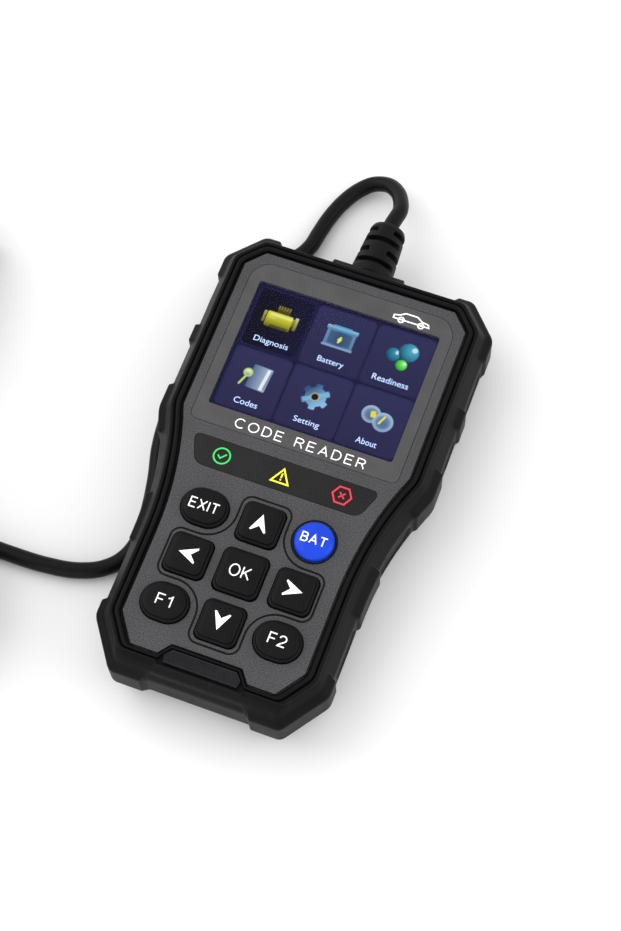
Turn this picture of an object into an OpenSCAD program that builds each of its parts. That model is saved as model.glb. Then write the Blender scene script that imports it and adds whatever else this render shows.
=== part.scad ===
// Handheld OBD code reader: hard two-part housing in a rubber bumper, colour
// display, nine keys, three status lights and a lead with a 16-way plug.
// It lies on its back: +Z comes out of the display, +Y points to the lead's end.

/* [Housing] */
// Half width of the face plate at the head
head_half = 35.5; // [35:0.1:36]
// Half width of the face plate at the grip
grip_half = 27.8; // [27.4:0.1:28.2]
// Half length of the face plate
plate_half_len = 64.85; // [64.6:0.05:65.2]
// Height of the face plate's surface above the back
face_z = 25.5; // [25:0.1:26]
// Height of the parting line between the two covers
parting_z = 13; // [12:0.5:14]
// Thickness of the housing walls
wall = 1.8; // [1.5:0.1:2]

/* [Bumper] */
// How far the raised pads stand out from the face plate's edge
pad_reach = 7.9; // [7.5:0.1:8.2]
// How far the bumper's wall stands out between the pads
wall_reach = 7; // [6.6:0.1:7.2]
// Height of the bead above the face plate
bead_rise = 0.8; // [0.4:0.1:1.2]

/* [Display] */
// Visible width of the display
display_w = 57.6; // [56:0.1:58]
// Visible height of the display
display_h = 43.2; // [42:0.1:44]
// Distance of the display's centre above the middle of the housing
display_y = 33.65; // [33:0.05:34]

/* [Keys] */
// Distance of the key cross's centre below the middle of the housing
cross_drop = 35; // [34.8:0.1:35.2]
// Sideways distance between arrow key centres and the centre key
cross_step_x = 16.1; // [16:0.1:16.3]
// Lengthways distance between arrow key centres and the centre key
cross_step_y = 15.75; // [15.6:0.05:15.9]
// Side of the square arrow keys
arrow_side = 12.4; // [12:0.1:12.6]
// Side of the centre key
centre_side = 13.6; // [13:0.1:13.8]
// Height of the keys above the face plate
key_rise = 2.2; // [1.6:0.1:2.6]
// Travel of every key
key_travel = 0.8; // [0.4:0.1:0.8]

/* [Lead] */
// Diameter of the lead
lead_d = 5; // [4.8:0.1:5]
// Radius of the coil at the middle of its turns
coil_r = 25; // [25:0.5:26]
// Height that one turn of the coil rises
coil_pitch = 5.2; // [5.1:0.1:5.3]

/* [Plug] */
// Width of the plug's shell
plug_w = 46; // [44:1:46]
// Height of the plug's shell
plug_h = 24; // [23:1:24]
// Length of the plug's shell
shell_len = 44; // [42:1:46]
// Length of the plug's nose in front of its shell
nose_len = 18; // [17:1:19]

/* [Hidden] */
$fn = 64;

rubber_black = "#1d1d1f";
shell_black = "#242426";
face_grey = "#56565a";
lens_grey = "#626266";
label_blue = "#1f4ff0";
board_green = "#1d5a37";
metal = "#b9bcc0";
gold = "#c9a23a";

gap = 0.1;                       // clearance between pieces that are pushed together
key_gap = 0.3;                   // clearance round a key
skin_reach = 3.4;                // covers' outer wall beyond the face plate's edge
bead_top = face_z + bead_rise;

// Face plate outline: right half from the top, clockwise
top_half = head_half - 5.2;
chamfer_y = plate_half_len - 5.6;
kink_y = 9.15;
waist_r = 110;
waist_end_y = -31.35;
foot_y = -56.35;
foot_half = grip_half - 6;
waist_top = asin((kink_y - waist_end_y) / waist_r);
half_outline = concat(
  [[top_half, plate_half_len], [head_half, chamfer_y]],
  [for (i = [0:8]) let (a = 180 - waist_top * (1 - i / 8))
    [grip_half + waist_r + waist_r * cos(a), waist_end_y + waist_r * sin(a)]],
  [[grip_half, foot_y], [foot_half, -plate_half_len]]);
plate_outline = concat(half_outline,
  [for (i = [len(half_outline) - 1:-1:0]) [-half_outline[i][0], half_outline[i][1]]]);

// A closed outline moved outwards by reach, with mitred corners
function unit(v) = v / norm(v);
function grow(points, reach) = let (n = len(points)) [for (i = [0:n - 1])
  let (a = unit(points[i] - points[(i + n - 1) % n]),
       b = unit(points[(i + 1) % n] - points[i]),
       na = [-a[1], a[0]], nb = [-b[1], b[0]])
  points[i] + (na + nb) * reach / (1 + na * nb)];

// A closed outline with its sharp corners turned into short curves
function soften(points, cut, steps) = let (n = len(points)) [for (i = [0:n - 1])
  let (p = points[i], back = points[(i + n - 1) % n] - p, on = points[(i + 1) % n] - p,
       turn = acos(max(-1, min(1, -unit(back) * unit(on)))),
       c = min(cut, norm(back) / 2.2, norm(on) / 2.2))
  each turn < 12 ? [p] : [for (k = [0:steps]) let (t = k / steps)
    (1 - t) * (1 - t) * (p + unit(back) * c) + 2 * t * (1 - t) * p + t * t * (p + unit(on) * c)]];

soft_outline = soften(plate_outline, 1.6, 3);

// A solid through the same outline grown by [reach, height] pairs, lowest first
module loft(outline, profile) {
  n = len(outline);
  rows = len(profile);
  points = [for (row = profile) for (p = grow(outline, row[0])) [p[0], p[1], row[1]]];
  sides = [for (r = [0:rows - 2]) for (i = [0:n - 1])
    [r * n + i, r * n + (i + 1) % n, (r + 1) * n + (i + 1) % n, (r + 1) * n + i]];
  polyhedron(points, concat([[for (i = [n - 1:-1:0]) i]], sides,
    [[for (i = [0:n - 1]) (rows - 1) * n + i]]), convexity = 6);
}

module slab(outline, reach, z0, z1) {
  translate([0, 0, z0]) linear_extrude(z1 - z0) polygon(grow(outline, reach));
}

module rounded(w, h, r) {
  for (x = [-1, 1], y = [-1, 1])
    translate([x * (w / 2 - r), y * (h / 2 - r)]) circle(r);
  square([w - 2 * r, h], center = true);
  square([w, h - 2 * r], center = true);
}

// Stadium shape of the long keys
module stadium(w, h) {
  for (x = [-1, 1]) translate([x * (w - h) / 2, 0]) circle(h / 2);
  square([w - h, h], center = true);
}

// Key places: centre, kind of outline and size
cross_y = -cross_drop;
long_x = 17.1;
long_y = 15.3;
long_w = 14.2;
long_h = 11.5;
round_d = 11.8;
round_step = 16.25;
up_at = [0, cross_y + cross_step_y];
down_at = [0, cross_y - cross_step_y];
left_at = [-cross_step_x, cross_y];
right_at = [cross_step_x, cross_y];
ok_at = [0, cross_y];
exit_at = [-long_x, cross_y + long_y];
battery_at = [round_step, cross_y + round_step];
f1_at = [-long_x, cross_y - long_y];
f2_at = [long_x, cross_y - long_y];
square_keys = [[up_at, arrow_side], [down_at, arrow_side], [left_at, arrow_side],
  [right_at, arrow_side], [ok_at, centre_side]];
long_keys = [exit_at, f1_at, f2_at];
all_keys = [up_at, down_at, left_at, right_at, ok_at, exit_at, battery_at, f1_at, f2_at];

// Heights inside the housing
board_top = 16.6;
board_t = 1.6;
cover_under = 22.3;
flange_top = 22.1;
flange_t = 1.3;
dome_h = 0.9;
plunger_r = 2.4;
plunger_z = board_top + dome_h + key_travel + 0.05;

module key_holes() {
  for (k = square_keys) translate(k[0]) rounded(k[1] + 2 * key_gap, k[1] + 2 * key_gap, 2.4);
  for (p = long_keys) translate(p) stadium(long_w + 2 * key_gap, long_h + 2 * key_gap);
  translate(battery_at) circle(d = round_d + 2 * key_gap);
}

// Screw posts of the housing: x, y on the right side, each with a twin on the left
post_r = 2.7;
post_places = [[25, 61.8], [31.2, 3.2], [18.6, -59.6]];
posts = [for (p = post_places) for (s = [-1, 1]) [s * p[0], p[1]]];

// Lens bezel and indicator window outlines
lens_half = 32.35;
lens_top = 61.55;
lens_bottom = 6.05;
lens_outline = soften([[28.6, lens_top], [lens_half, 57.4], [lens_half, lens_bottom],
  [-lens_half, lens_bottom], [-lens_half, 57.4], [-28.6, lens_top]], 2.4, 4);
strip_top = 1.95;
strip_bottom = -7.25;
strip_outline = soften([[28.9, strip_top], [25.4, strip_bottom], [-25.4, strip_bottom],
  [-28.9, strip_top]], 2.6, 4);
light_y = -2.65;
light_step = 18.6;
lens_t = 1.2;
strip_t = 0.8;
window_gap = 0.15;

// Notch in the lower end of the face plate, and the grip pad that fills it
notch_foot = 13.7;
notch_head = 10.6;
notch_y = -60.85;
notch_outline = [[-notch_foot, -plate_half_len - 1], [-notch_foot, -plate_half_len],
  [-notch_head, notch_y], [notch_head, notch_y], [notch_foot, -plate_half_len],
  [notch_foot, -plate_half_len - 1]];
pad_outline = [[-9.3, -62.6], [9.3, -62.6], [11.7, -64.8], [11.7, -67], [-11.7, -67], [-11.7, -64.8]];

// Lead: exit and free route, in loose curves on the ground
exit_y = 91.4;
exit_z = 13.5;
relief_foot = 72.9;
lead_z = lead_d / 2;
lift_z = lead_z + 0.5;           // the coil lies on its tie
run_route = [[0, exit_y, exit_z], [0, 93.4, exit_z], [0.3, 96, 13.1], [0.6, 99.4, 12.1], [-0.6, 103.8, 10.2],
  [-3.4, 108.4, 7.8], [-7.6, 111.2, 5.4], [-12.4, 110.8, 3.7], [-16.6, 107, 2.8],
  [-19.6, 101.6, 2.5], [-21.6, 95.4, 2.5], [-22.8, 89, 2.5], [-23.8, 83, 2.5],
  [-26.2, 78.4, 2.5], [-30.6, 75.8, 2.5], [-35.4, 73.6, 2.5], [-39.6, 69.8, 2.5],
  [-42.8, 64.6, 2.5], [-44, 58, 2.5], [-44, 46, 2.5], [-44, 34, 2.5], [-44, 22, 2.5],
  [-44, 12, 2.5], [-42.6, 2, 2.5], [-39.8, -8, 2.5], [-37.8, -18, 2.5], [-37, -25, 2.5],
  [-37.4, -30.6, 2.5], [-39.6, -36, 2.5], [-44.2, -40.4, 2.5], [-50.6, -43.2, 2.5],
  [-60, -44.8, 2.5], [-72, -45.2, 2.5], [-84, -45.1, 2.6]];
coil_at = [-98.5, -70];
coil_enter = 95;
coil_leave = 120 + 1080;
coil_end_z = lift_z + coil_pitch * (coil_leave - coil_enter) / 360;
plug_x = -141;
plug_tip_y = -32;
plug_z = plug_h / 2;
tail_route = [[-117, -50.8, 18.8], [-123, -52.9, 17.2], [-129, -53, 15.2], [-134.2, -50.8, 13.6],
  [-138.2, -46.8, 12.6], [-140.3, -41.6, 12.1], [-141, -36.6, plug_z], [-141, -33.4, plug_z],
  [-141, plug_tip_y, plug_z]];

function coil_point(a) = [coil_at[0] + coil_r * cos(a), coil_at[1] + coil_r * sin(a),
  lift_z + coil_pitch * (a - coil_enter) / 360];

// A round tube swept along points, as one closed solid
tube_sides = 10;
module sweep(points, d) {
  n = len(points);
  function ahead(i) = unit(points[min(i + 1, n - 1)] - points[max(i - 1, 0)]);
  rings = [for (i = [0:n - 1])
    let (t = ahead(i), side = unit(cross(t, [0, 0, 1])), up = cross(side, t))
    for (k = [0:tube_sides - 1]) let (a = 360 * k / tube_sides)
      points[i] + (side * cos(a) + up * sin(a)) * d / 2];
  walls = [for (i = [0:n - 2]) for (k = [0:tube_sides - 1]) let (m = (k + 1) % tube_sides)
    [i * tube_sides + k, (i + 1) * tube_sides + k, (i + 1) * tube_sides + m, i * tube_sides + m]];
  polyhedron(rings, concat([[for (k = [0:tube_sides - 1]) k]], walls,
    [[for (k = [tube_sides - 1:-1:0]) (n - 1) * tube_sides + k]]), convexity = 4);
}

// ---- housing ----

module cable_hole(d) {
  translate([0, plate_half_len - 4, exit_z]) rotate([-90, 0, 0]) cylinder(h = 14, d = d);
}

module rear_cover() color(shell_black) {
  foot_t = 1.6;
  floor_top = 3;
  groove_count = 5;
  groove_y = -29;
  groove_step = 4.4;
  groove_long = 34;
  groove_w = 1.8;
  groove_depth = 0.6;
  difference() {
    union() {
      slab(plate_outline, 1, 0, foot_t);
      slab(plate_outline, skin_reach, foot_t, parting_z - gap / 2);
    }
    difference() {
      slab(plate_outline, skin_reach - wall, floor_top, parting_z + 1);
      for (p = posts) translate([p[0], p[1], 0]) cylinder(h = parting_z, r = post_r);
    }
    for (p = posts) translate([p[0], p[1], -1]) {
      cylinder(h = parting_z + 2, r = 1.15);
      cylinder(h = 5, r = 2);
    }
    translate([0, 18, -1]) linear_extrude(1.3) rounded(42.4, 26.4, 2.2);
    for (i = [0:groove_count - 1]) translate([0, groove_y - i * groove_step, -1])
      linear_extrude(1 + groove_depth) stadium(groove_long, groove_w);
    cable_hole(9.2);
  }
}

module front_cover() color(face_grey) {
  flange_z = 24;
  difference() {
    union() {
      slab(plate_outline, -0.25, flange_z - 0.5, face_z);
      slab(plate_outline, skin_reach, parting_z + gap / 2, flange_z);
    }
    difference() {
      slab(plate_outline, skin_reach - wall, parting_z - 1, cover_under);
      for (p = posts) translate([p[0], p[1], parting_z]) cylinder(h = 12, r = post_r);
    }
    for (p = posts) translate([p[0], p[1], parting_z - 1]) cylinder(h = 8, r = 0.9);
    translate([0, 0, cover_under - 1]) linear_extrude(10) key_holes();
    slab(lens_outline, window_gap, face_z - lens_t, face_z + 1);
    translate([0, display_y, cover_under - 1]) linear_extrude(10) rounded(62.4, 47.6, 1);
    slab(strip_outline, window_gap, face_z - strip_t, face_z + 1);
    for (s = [-1, 0, 1]) translate([s * light_step, light_y, cover_under - 1])
      cylinder(h = 6, r = 2.7);
    translate([0, 0, flange_top - 2.2]) linear_extrude(cover_under - flange_top + 3) flange_room();
    translate([0, 0, face_z - line_depth]) linear_extrude(1) key_lines();
    translate([0, 0, flange_z - 0.6]) linear_extrude(4) polygon(notch_outline);
    cable_hole(9.2);
  }
}

// Shape of the panel round the key cross: four lobes with hollows at the corner keys
lobe_half = 7.55;
lobe_reach = 23.4;
hollow_at = 16.25;
line_w = 0.36;
line_depth = 0.35;
module key_panel(over) {
  wide = 2 * (lobe_half + over);
  long = 2 * (lobe_reach + over);
  difference() {
    union() {
      rounded(wide, long, 3 + over);
      rounded(long, wide, 3 + over);
      square(2 * hollow_at, center = true);
    }
    for (x = [-hollow_at, hollow_at], y = [-hollow_at, hollow_at])
      translate([x, y]) circle(hollow_at - lobe_half - over);
  }
}

// Fine lines in the face plate: round the key cross and round the battery key
module key_lines() {
  translate(ok_at) difference() {
    key_panel(line_w / 2);
    key_panel(-line_w / 2);
  }
  translate(battery_at) difference() {
    circle(d = round_d + 1.6);
    circle(d = round_d + 1);
  }
}

// Room under the plate for the keys' flanges
module flange_room() {
  for (k = square_keys) translate(k[0]) rounded(k[1] + 2.6, k[1] + 2.6, 2.8);
  for (p = long_keys) translate(p) stadium(long_w + 2.2, long_h + 2.6);
  translate(battery_at) circle(d = round_d + 2.8);
}

// ---- bumper ----

pad_low = 9.5;                   // the pads' straight face runs from here ...
pad_high = 20;                   // ... to here
bead_out = 3.7;
back_reach = 4.4;
wall_profile = [[back_reach - 0.6, 0], [wall_reach, pad_low - 1], [wall_reach, pad_high - 1],
  [bead_out + 1.5, pad_high + 1.6], [bead_out + 0.4, face_z - 1], [bead_out, face_z],
  [bead_out - 0.6, bead_top - 0.2], [bead_out - 1.2, bead_top]];
pad_profile = [[back_reach, 0], [pad_reach, pad_low], [pad_reach, pad_high],
  [bead_out + 1.2, pad_high + 1.8]];

// Plan regions of the raised pads, on the right side and its mirror image
module pad_regions() {
  side_x = grip_half;
  for (s = [0, 1]) mirror([s, 0]) {
    polygon([[28.5, 90], [28.5, 60], [33, 55], [60, 55], [60, 90]]);
    polygon([[side_x, 31], [side_x, 37.6], [60, 37.6], [60, 31]]);
    polygon([[side_x, 0.6], [side_x, 16.2], [60, 16.2], [60, 0.6]]);
    polygon([[20, -34], [20, -18.6], [60, -18.6], [60, -34]]);
    polygon([[16, -90], [16, -60], [22, -53.4], [60, -53.4], [60, -90]]);
  }
  polygon([[-11.5, 90], [-11.5, 60], [11.5, 60], [11.5, 90]]);
}

pad_seat = [for (p = pad_outline) [p[0] * 1.01, p[1] + (p[1] > -64 ? gap : -gap)]];

module bumper_frame() color(rubber_black) {
  lip_z = 24.1;
  difference() {
    union() {
      loft(soft_outline, wall_profile);
      intersection() {
        loft(soft_outline, pad_profile);
        translate([0, 0, -1]) linear_extrude(40) pad_regions();
      }
    }
    difference() {
      slab(plate_outline, 0, -1, 40);
      translate([0, 0, lip_z]) linear_extrude(2) polygon(notch_outline);
    }
    slab(plate_outline, 1.1, -1, 1.6);
    slab(plate_outline, skin_reach + gap, 1.5, lip_z);
    translate([0, 0, face_z]) linear_extrude(2) polygon(pad_seat);
    translate([0, plate_half_len + 1, exit_z]) rotate([-90, 0, 0]) cylinder(h = 14, d = 12.6);
    // long recess in the lower end wall
    translate([0, -plate_half_len - wall_reach, 10]) rotate([90, 0, 0])
      linear_extrude(4, center = true) polygon([[-14.5, -8], [14.5, -8], [14.5, 8], [-14.5, 8]]);
  }
}

module grip_pad() color(shell_black) {
  translate([0, 0, face_z]) linear_extrude(0.7) polygon(pad_outline);
}

// ---- display and lights ----

module lens_bezel() color(lens_grey) {
  difference() {
    slab(lens_outline, 0, face_z - lens_t + 0.01, face_z);
    translate([0, display_y, 20]) linear_extrude(10) rounded(display_w, display_h, 0.9);
  }
}

module display_window() color([0.75, 0.85, 0.95, 0.3]) {
  translate([0, display_y, face_z - lens_t + 0.01]) linear_extrude(lens_t - 0.06)
    rounded(display_w - 0.04, display_h - 0.04, 0.9);
}

glass_top = face_z - lens_t - 0.02;
module display_panel() color("#1e1d42") {
  translate([0, display_y, 22.2]) linear_extrude(glass_top - 22.2) rounded(61.6, 46.8, 0.5);
  translate([0, display_y, 19.7]) linear_extrude(2.4 + 0.1) rounded(68.4, 49.6, 0.8);
}

module display_frame() color(metal) {
  translate([0, display_y, board_top]) difference() {
    linear_extrude(3) rounded(68.4, 49.6, 0.8);
    translate([0, 0, -1]) linear_extrude(5) rounded(64, 45.2, 0.8);
    translate([-8, -30, 1]) cube([16, 12, 5]);
  }
}

module display_ribbon() color("#b5642a") {
  ribbon_w = 12;
  translate([-ribbon_w / 2, 0, 0]) rotate([90, 0, 90]) linear_extrude(ribbon_w)
    polygon([[20, 19.55], [6.6, 19.55], [4.6, 18.9], [4, 18.2], [4, 18.05], [4.25, 18.05],
      [4.85, 18.7], [6.75, 19.3], [20, 19.3]]);
}

module ribbon_socket() color("#e8e4d8") {
  translate([-8, 0.6, board_top]) difference() {
    cube([16, 4, 1.4]);
    translate([1, 2.6, 0.5]) cube([14, 2, 0.5]);
  }
}

module indicator_window() color("#303033") {
  slab(strip_outline, 0, face_z - strip_t + 0.01, face_z - 0.02);
}

module light_guides() color([0.9, 0.95, 0.9, 0.6]) {
  for (s = [-1, 0, 1]) translate([s * light_step, light_y, 18.2])
    cylinder(h = face_z - strip_t - 18.2, r = 2.4);
}

module indicator_leds() {
  for (i = [0:2]) color(["#38d070", "#ecd82c", "#e02740"][i])
    translate([(i - 1) * light_step, light_y, board_top]) {
      translate([-1.6, -1.4, 0]) cube([3.2, 2.8, 1]);
      translate([0, 0, 1]) cylinder(h = 0.4, r = 1.1);
    }
}

// ---- board and what is on it ----

module main_board() color(board_green) {
  difference() {
    slab(plate_outline, -0.4, board_top - board_t, board_top);
    for (p = posts) translate([p[0], p[1], 10]) cylinder(h = 10, r = post_r + 0.3);
    for (p = board_screw_places) translate([p[0], p[1], 10]) cylinder(h = 10, r = 1.1);
    translate([-12, 60.6, 10]) cube([24, 8, 10]);
  }
}

module keypad_mat() color("#3a3b3e") {
  mat_t = 0.6;
  web_h = 2.4;
  difference() {
    translate([0, cross_y, board_top]) linear_extrude(mat_t) rounded(50, 43, 3);
    for (p = all_keys) translate([p[0], p[1], 10]) cylinder(h = 10, r = 4);
    for (p = board_screw_places) translate([p[0], p[1], 10]) cylinder(h = 10, r = 2.6);
  }
  for (p = all_keys) translate([p[0], p[1], board_top]) rotate_extrude()
    polygon([[4.6, 0], [4.6, mat_t], [3.7, web_h], [3.2, web_h], [4, mat_t], [4, 0]]);
}

module switch_domes() color(metal) {
  for (p = all_keys) translate([p[0], p[1], board_top]) {
    cylinder(h = 0.3, r = 2.6);
    translate([0, 0, 0.3]) cylinder(h = dome_h - 0.3, r = 1.6);
  }
}

under_board = board_top - board_t;
module processor() color("#2b2c30") {
  translate([-7, 24, under_board - 1.4]) cube([14, 14, 1.4]);
}

chips = [[-24, 40, 6, 8, 1.5], [14, 36, 8, 6, 1.5], [-22, 22, 5, 5, 1.2], [14, -8, 6, 5, 1.5],
  [-12, -22, 10, 6, 1.8], [6, -34, 7, 5, 1.5]];
module board_chips() color("#26272b") {
  for (c = chips) translate([c[0], c[1], under_board - c[4]]) cube([c[2], c[3], c[4]]);
}

module board_capacitors() color("#9aa0a8") {
  for (p = [[-21, 52], [-13, 52], [22, 50]]) translate([p[0], p[1], under_board - 6])
    cylinder(h = 6, r = 2.8);
}

module crystal_can() color(metal) {
  translate([16, 28, under_board - 3]) linear_extrude(3) rounded(9, 4, 1.9);
}

module buzzer() color("#1a1a1c") {
  translate([-14, 5, under_board - 5]) difference() {
    cylinder(h = 5, r = 6);
    translate([0, 0, -1]) cylinder(h = 2, r = 1);
  }
}

module cable_header() color("#ece8dc") {
  translate([-7, 53.4, under_board - 5.4]) difference() {
    cube([14, 6, 5.4]);
    translate([1, 1, -1]) cube([12, 6, 5]);
  }
}

module header_plug() color("#f4f1e6") {
  translate([-5.8, 54.6, under_board - 5.4]) cube([11.6, 6.4, 3.8]);
}

module inner_wires() {
  for (i = [0:3]) color(["#c4342c", "#1c1c1c", "#2f8f46", "#d8c23a"][i])
    translate([(i - 1.5) * 1.4, 0, 0]) sweep([[0, 65, exit_z], [0, 63.2, exit_z - 0.3],
      [0, 62.1, under_board - 3], [0, 61.25, under_board - 3.4]], 1.1);
}

module cable_clamp() color("#c8c9cc") {
  translate([0, 64.2, exit_z]) rotate([-90, 0, 0]) difference() {
    cylinder(h = 1.9, r = 7.4);
    translate([0, 0, -1]) cylinder(h = 4, r = 3.2);
    translate([-10, 2.4, -1]) cube([20, 10, 4]);
  }
}

board_screw_places = [[-10.5, -24.5], [10.5, -24.5], [-9.2, -44.6], [9.2, -44.6]];
module screw(length, d, head_d, head_h) {
  difference() {
    union() {
      cylinder(h = length, d = d);
      translate([0, 0, -head_h]) cylinder(h = head_h, d = head_d);
    }
    for (a = [0, 90]) rotate(a) translate([-head_d * 0.3, -0.3, -head_h - 1])
      cube([head_d * 0.6, 0.6, 1.6]);
  }
}

module board_screws() color(metal) {
  head_h = 1.1;
  for (p = board_screw_places) translate([p[0], p[1], board_top]) mirror([0, 0, 1])
    screw(4, 2, 3.8, head_h);
}

module rear_screws() color(metal) {
  for (p = posts) translate([p[0], p[1], 4]) screw(11, 1.7, 3.7, 1.4);
}

module rear_plate() color("#b4b6ba") {
  translate([0, 18, 0.1]) linear_extrude(0.2) rounded(42, 26, 2);
}

// ---- keys ----

// Plunger of a key, above its switch dome
module key_stem(at) {
  translate([at[0], at[1], plunger_z]) cylinder(h = flange_top - flange_t - plunger_z + 0.2, r = plunger_r);
}

// Key caps: a drafted block with a flange that the face plate holds down

module square_key(at, side) {
  shoulder = face_z + 0.5;
  top = face_z + key_rise;
  translate([at[0], at[1], 0]) {
    translate([0, 0, flange_top - flange_t]) linear_extrude(flange_t) rounded(side + 1.8, side + 1.8, 2.6);
    translate([0, 0, flange_top - 0.1]) linear_extrude(shoulder - flange_top + 0.1) rounded(side, side, 2.2);
    hull() {
      translate([0, 0, shoulder - 0.05]) linear_extrude(0.05) rounded(side, side, 2.2, $fn = 32);
      translate([0, 0, top - 0.1]) linear_extrude(0.1) rounded(side - 2.4, side - 2.4, 1.6, $fn = 32);
    }
  }
  key_stem(at);
}

module long_key(at) {
  shoulder = face_z + 0.5;
  top = face_z + key_rise;
  translate([at[0], at[1], 0]) {
    translate([0, 0, flange_top - flange_t]) linear_extrude(flange_t) stadium(long_w + 1.4, long_h + 1.8);
    translate([0, 0, flange_top - 0.1]) linear_extrude(shoulder - flange_top + 0.1) stadium(long_w, long_h);
    hull() {
      translate([0, 0, shoulder - 0.05]) linear_extrude(0.05) stadium(long_w, long_h, $fn = 48);
      translate([0, 0, top - 0.1]) linear_extrude(0.1) stadium(long_w - 2.4, long_h - 2.4, $fn = 48);
    }
  }
  key_stem(at);
}

module key_up() color(rubber_black) square_key(up_at, arrow_side);
module key_down() color(rubber_black) square_key(down_at, arrow_side);
module key_left() color(rubber_black) square_key(left_at, arrow_side);
module key_right() color(rubber_black) square_key(right_at, arrow_side);
module key_ok() color(rubber_black) square_key(ok_at, centre_side);
module key_exit() color(rubber_black) long_key(exit_at);
module key_f1() color(rubber_black) long_key(f1_at);
module key_f2() color(rubber_black) long_key(f2_at);

module key_battery() color(label_blue) {
  translate([battery_at[0], battery_at[1], 0]) {
    translate([0, 0, flange_top - flange_t]) cylinder(h = flange_t, d = round_d + 2);
    translate([0, 0, flange_top - 0.1]) cylinder(h = face_z + 1.1 - flange_top, d = round_d);
    translate([0, 0, face_z + 1]) cylinder(h = key_rise - 1, d1 = round_d, d2 = round_d - 3.6);
  }
  key_stem(battery_at);
}

// ---- lead and plug ----

relief_rows = 4;
module strain_relief() color(rubber_black) {
  neck_d = 9;
  neck_y = 66.2;
  translate([0, 0, exit_z]) rotate([-90, 0, 0]) difference() {
    union() {
      translate([0, 0, neck_y]) cylinder(h = relief_foot - neck_y, d = neck_d);
      translate([0, 0, relief_foot - 1.4]) cylinder(h = 2.6, d = 12.4);
      translate([0, 0, relief_foot]) cylinder(h = exit_y - relief_foot, d1 = 13.8, d2 = 11.4);
    }
    for (i = [0:relief_rows - 1]) translate([0, 0, relief_foot + 3.4 + i * 4])
      for (s = [0, 180]) rotate(s + 90 * (i % 2)) rotate_extrude(angle = 130)
        translate([4.2, 0]) square([5, 1.6]);
  }
}

module lead_run() color(rubber_black) sweep(concat(run_route, [coil_point(coil_enter)]), lead_d);

module lead_coil() color(rubber_black) {
  translate([coil_at[0], coil_at[1], 0]) rotate_extrude() translate([coil_r - lead_d / 2, lift_z - lead_z])
    square([lead_d, coil_end_z + lead_z - (lift_z - lead_z)]);
}

module lead_tail() color(rubber_black) sweep(concat([coil_point(coil_leave)], tail_route), lead_d);

module coil_tie() color("#3b3b40") {
  tie_w = 12;
  tie_t = 0.5;
  slack = 0.3;                   // the coil bends away inside a straight tie
  high = coil_end_z + lead_z + tie_t;
  translate([coil_at[0], coil_at[1] - coil_r, 0]) difference() {
    translate([-tie_w / 2, -lead_z - slack - tie_t, 0])
      cube([tie_w, lead_d + 4.2 * slack + 2 * tie_t, high]);
    translate([-tie_w, -lead_z - slack, tie_t]) cube([2 * tie_w, lead_d + 4.2 * slack, high - 2 * tie_t]);
  }
}

shell_y = plug_tip_y + 22;
module plug_block(z0, z1, shrink) {
  translate([plug_x, shell_y, z0]) linear_extrude(z1 - z0) polygon([
    [-plug_w / 2 + 7 + shrink, shrink], [plug_w / 2 - 7 - shrink, shrink],
    [plug_w / 2 - shrink, 12], [plug_w / 2 - shrink, shell_len - shrink],
    [-plug_w / 2 + shrink, shell_len - shrink], [-plug_w / 2 + shrink, 12]]);
}

module plug_screw_places() {
  for (x = [-16, 16]) translate([plug_x + x, shell_y + 22, 0]) children();
}

module plug_lower_shell() color(shell_black) {
  difference() {
    union() {
      difference() {
        plug_block(0, plug_z - gap / 2, 0);
        plug_block(2, plug_z + 1, 2);
      }
      plug_screw_places() cylinder(h = plug_z - gap / 2, r = 3);
    }
    translate([plug_x - nose_w / 2 - gap, shell_y + 30, plug_z - nose_h / 2 - gap])
      cube([nose_w + 2 * gap, 30, nose_h + 2 * gap]);
    translate([plug_x, shell_y - 2, plug_z]) rotate([-90, 0, 0]) cylinder(h = 8, d = 9.2);
    plug_screw_places() {
      translate([0, 0, -1]) cylinder(h = 4, r = 2.2);
      cylinder(h = plug_h, r = 1.3);
    }
  }
}

module plug_upper_shell() color(shell_black) {
  difference() {
    plug_block(plug_z + gap / 2, plug_h, 0);
    plug_block(plug_z - 1, plug_h - 2, 2);
    translate([plug_x - nose_w / 2 - gap, shell_y + 30, plug_z - nose_h / 2 - gap])
      cube([nose_w + 2 * gap, 30, nose_h + 2 * gap]);
    translate([plug_x, shell_y - 2, plug_z]) rotate([-90, 0, 0]) cylinder(h = 8, d = 9.2);
  }
  difference() {
    plug_screw_places() translate([0, 0, plug_z + gap / 2]) cylinder(h = plug_z - 1, r = 3);
    plug_screw_places() cylinder(h = plug_h - 3, r = 0.9);
  }
}

nose_w = 39.4;
nose_h = 16.4;
nose_taper = 2.6;
mouth = 5.5;                     // free depth in front of the pins
nose_front = shell_y + shell_len + nose_len;
module nose_section(shrink) {
  w = nose_w / 2 - shrink;
  h = nose_h / 2 - shrink;
  polygon([[-w, -h], [w, -h], [w, h - 5], [w - nose_taper, h], [-w + nose_taper, h], [-w, h - 5]]);
}

module along_nose(y0, y1) {
  translate([plug_x, y1, plug_z]) rotate([90, 0, 0]) linear_extrude(y1 - y0) children();
}

module plug_nose() color("#18181a") {
  nose_wall = 1.5;
  difference() {
    along_nose(shell_y + 32, nose_front) nose_section(0);
    along_nose(nose_front - 15, nose_front + 1) nose_section(nose_wall);
    for (p = pin_places) translate([plug_x + p[0], shell_y + 31, plug_z + p[1]]) rotate([-90, 0, 0])
      cylinder(h = 40, d = 2);
  }
  along_nose(nose_front - 15.5, nose_front - mouth)
    translate([0, -0.1]) square([nose_w - 2 * nose_wall, 2], center = true);
}

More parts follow.
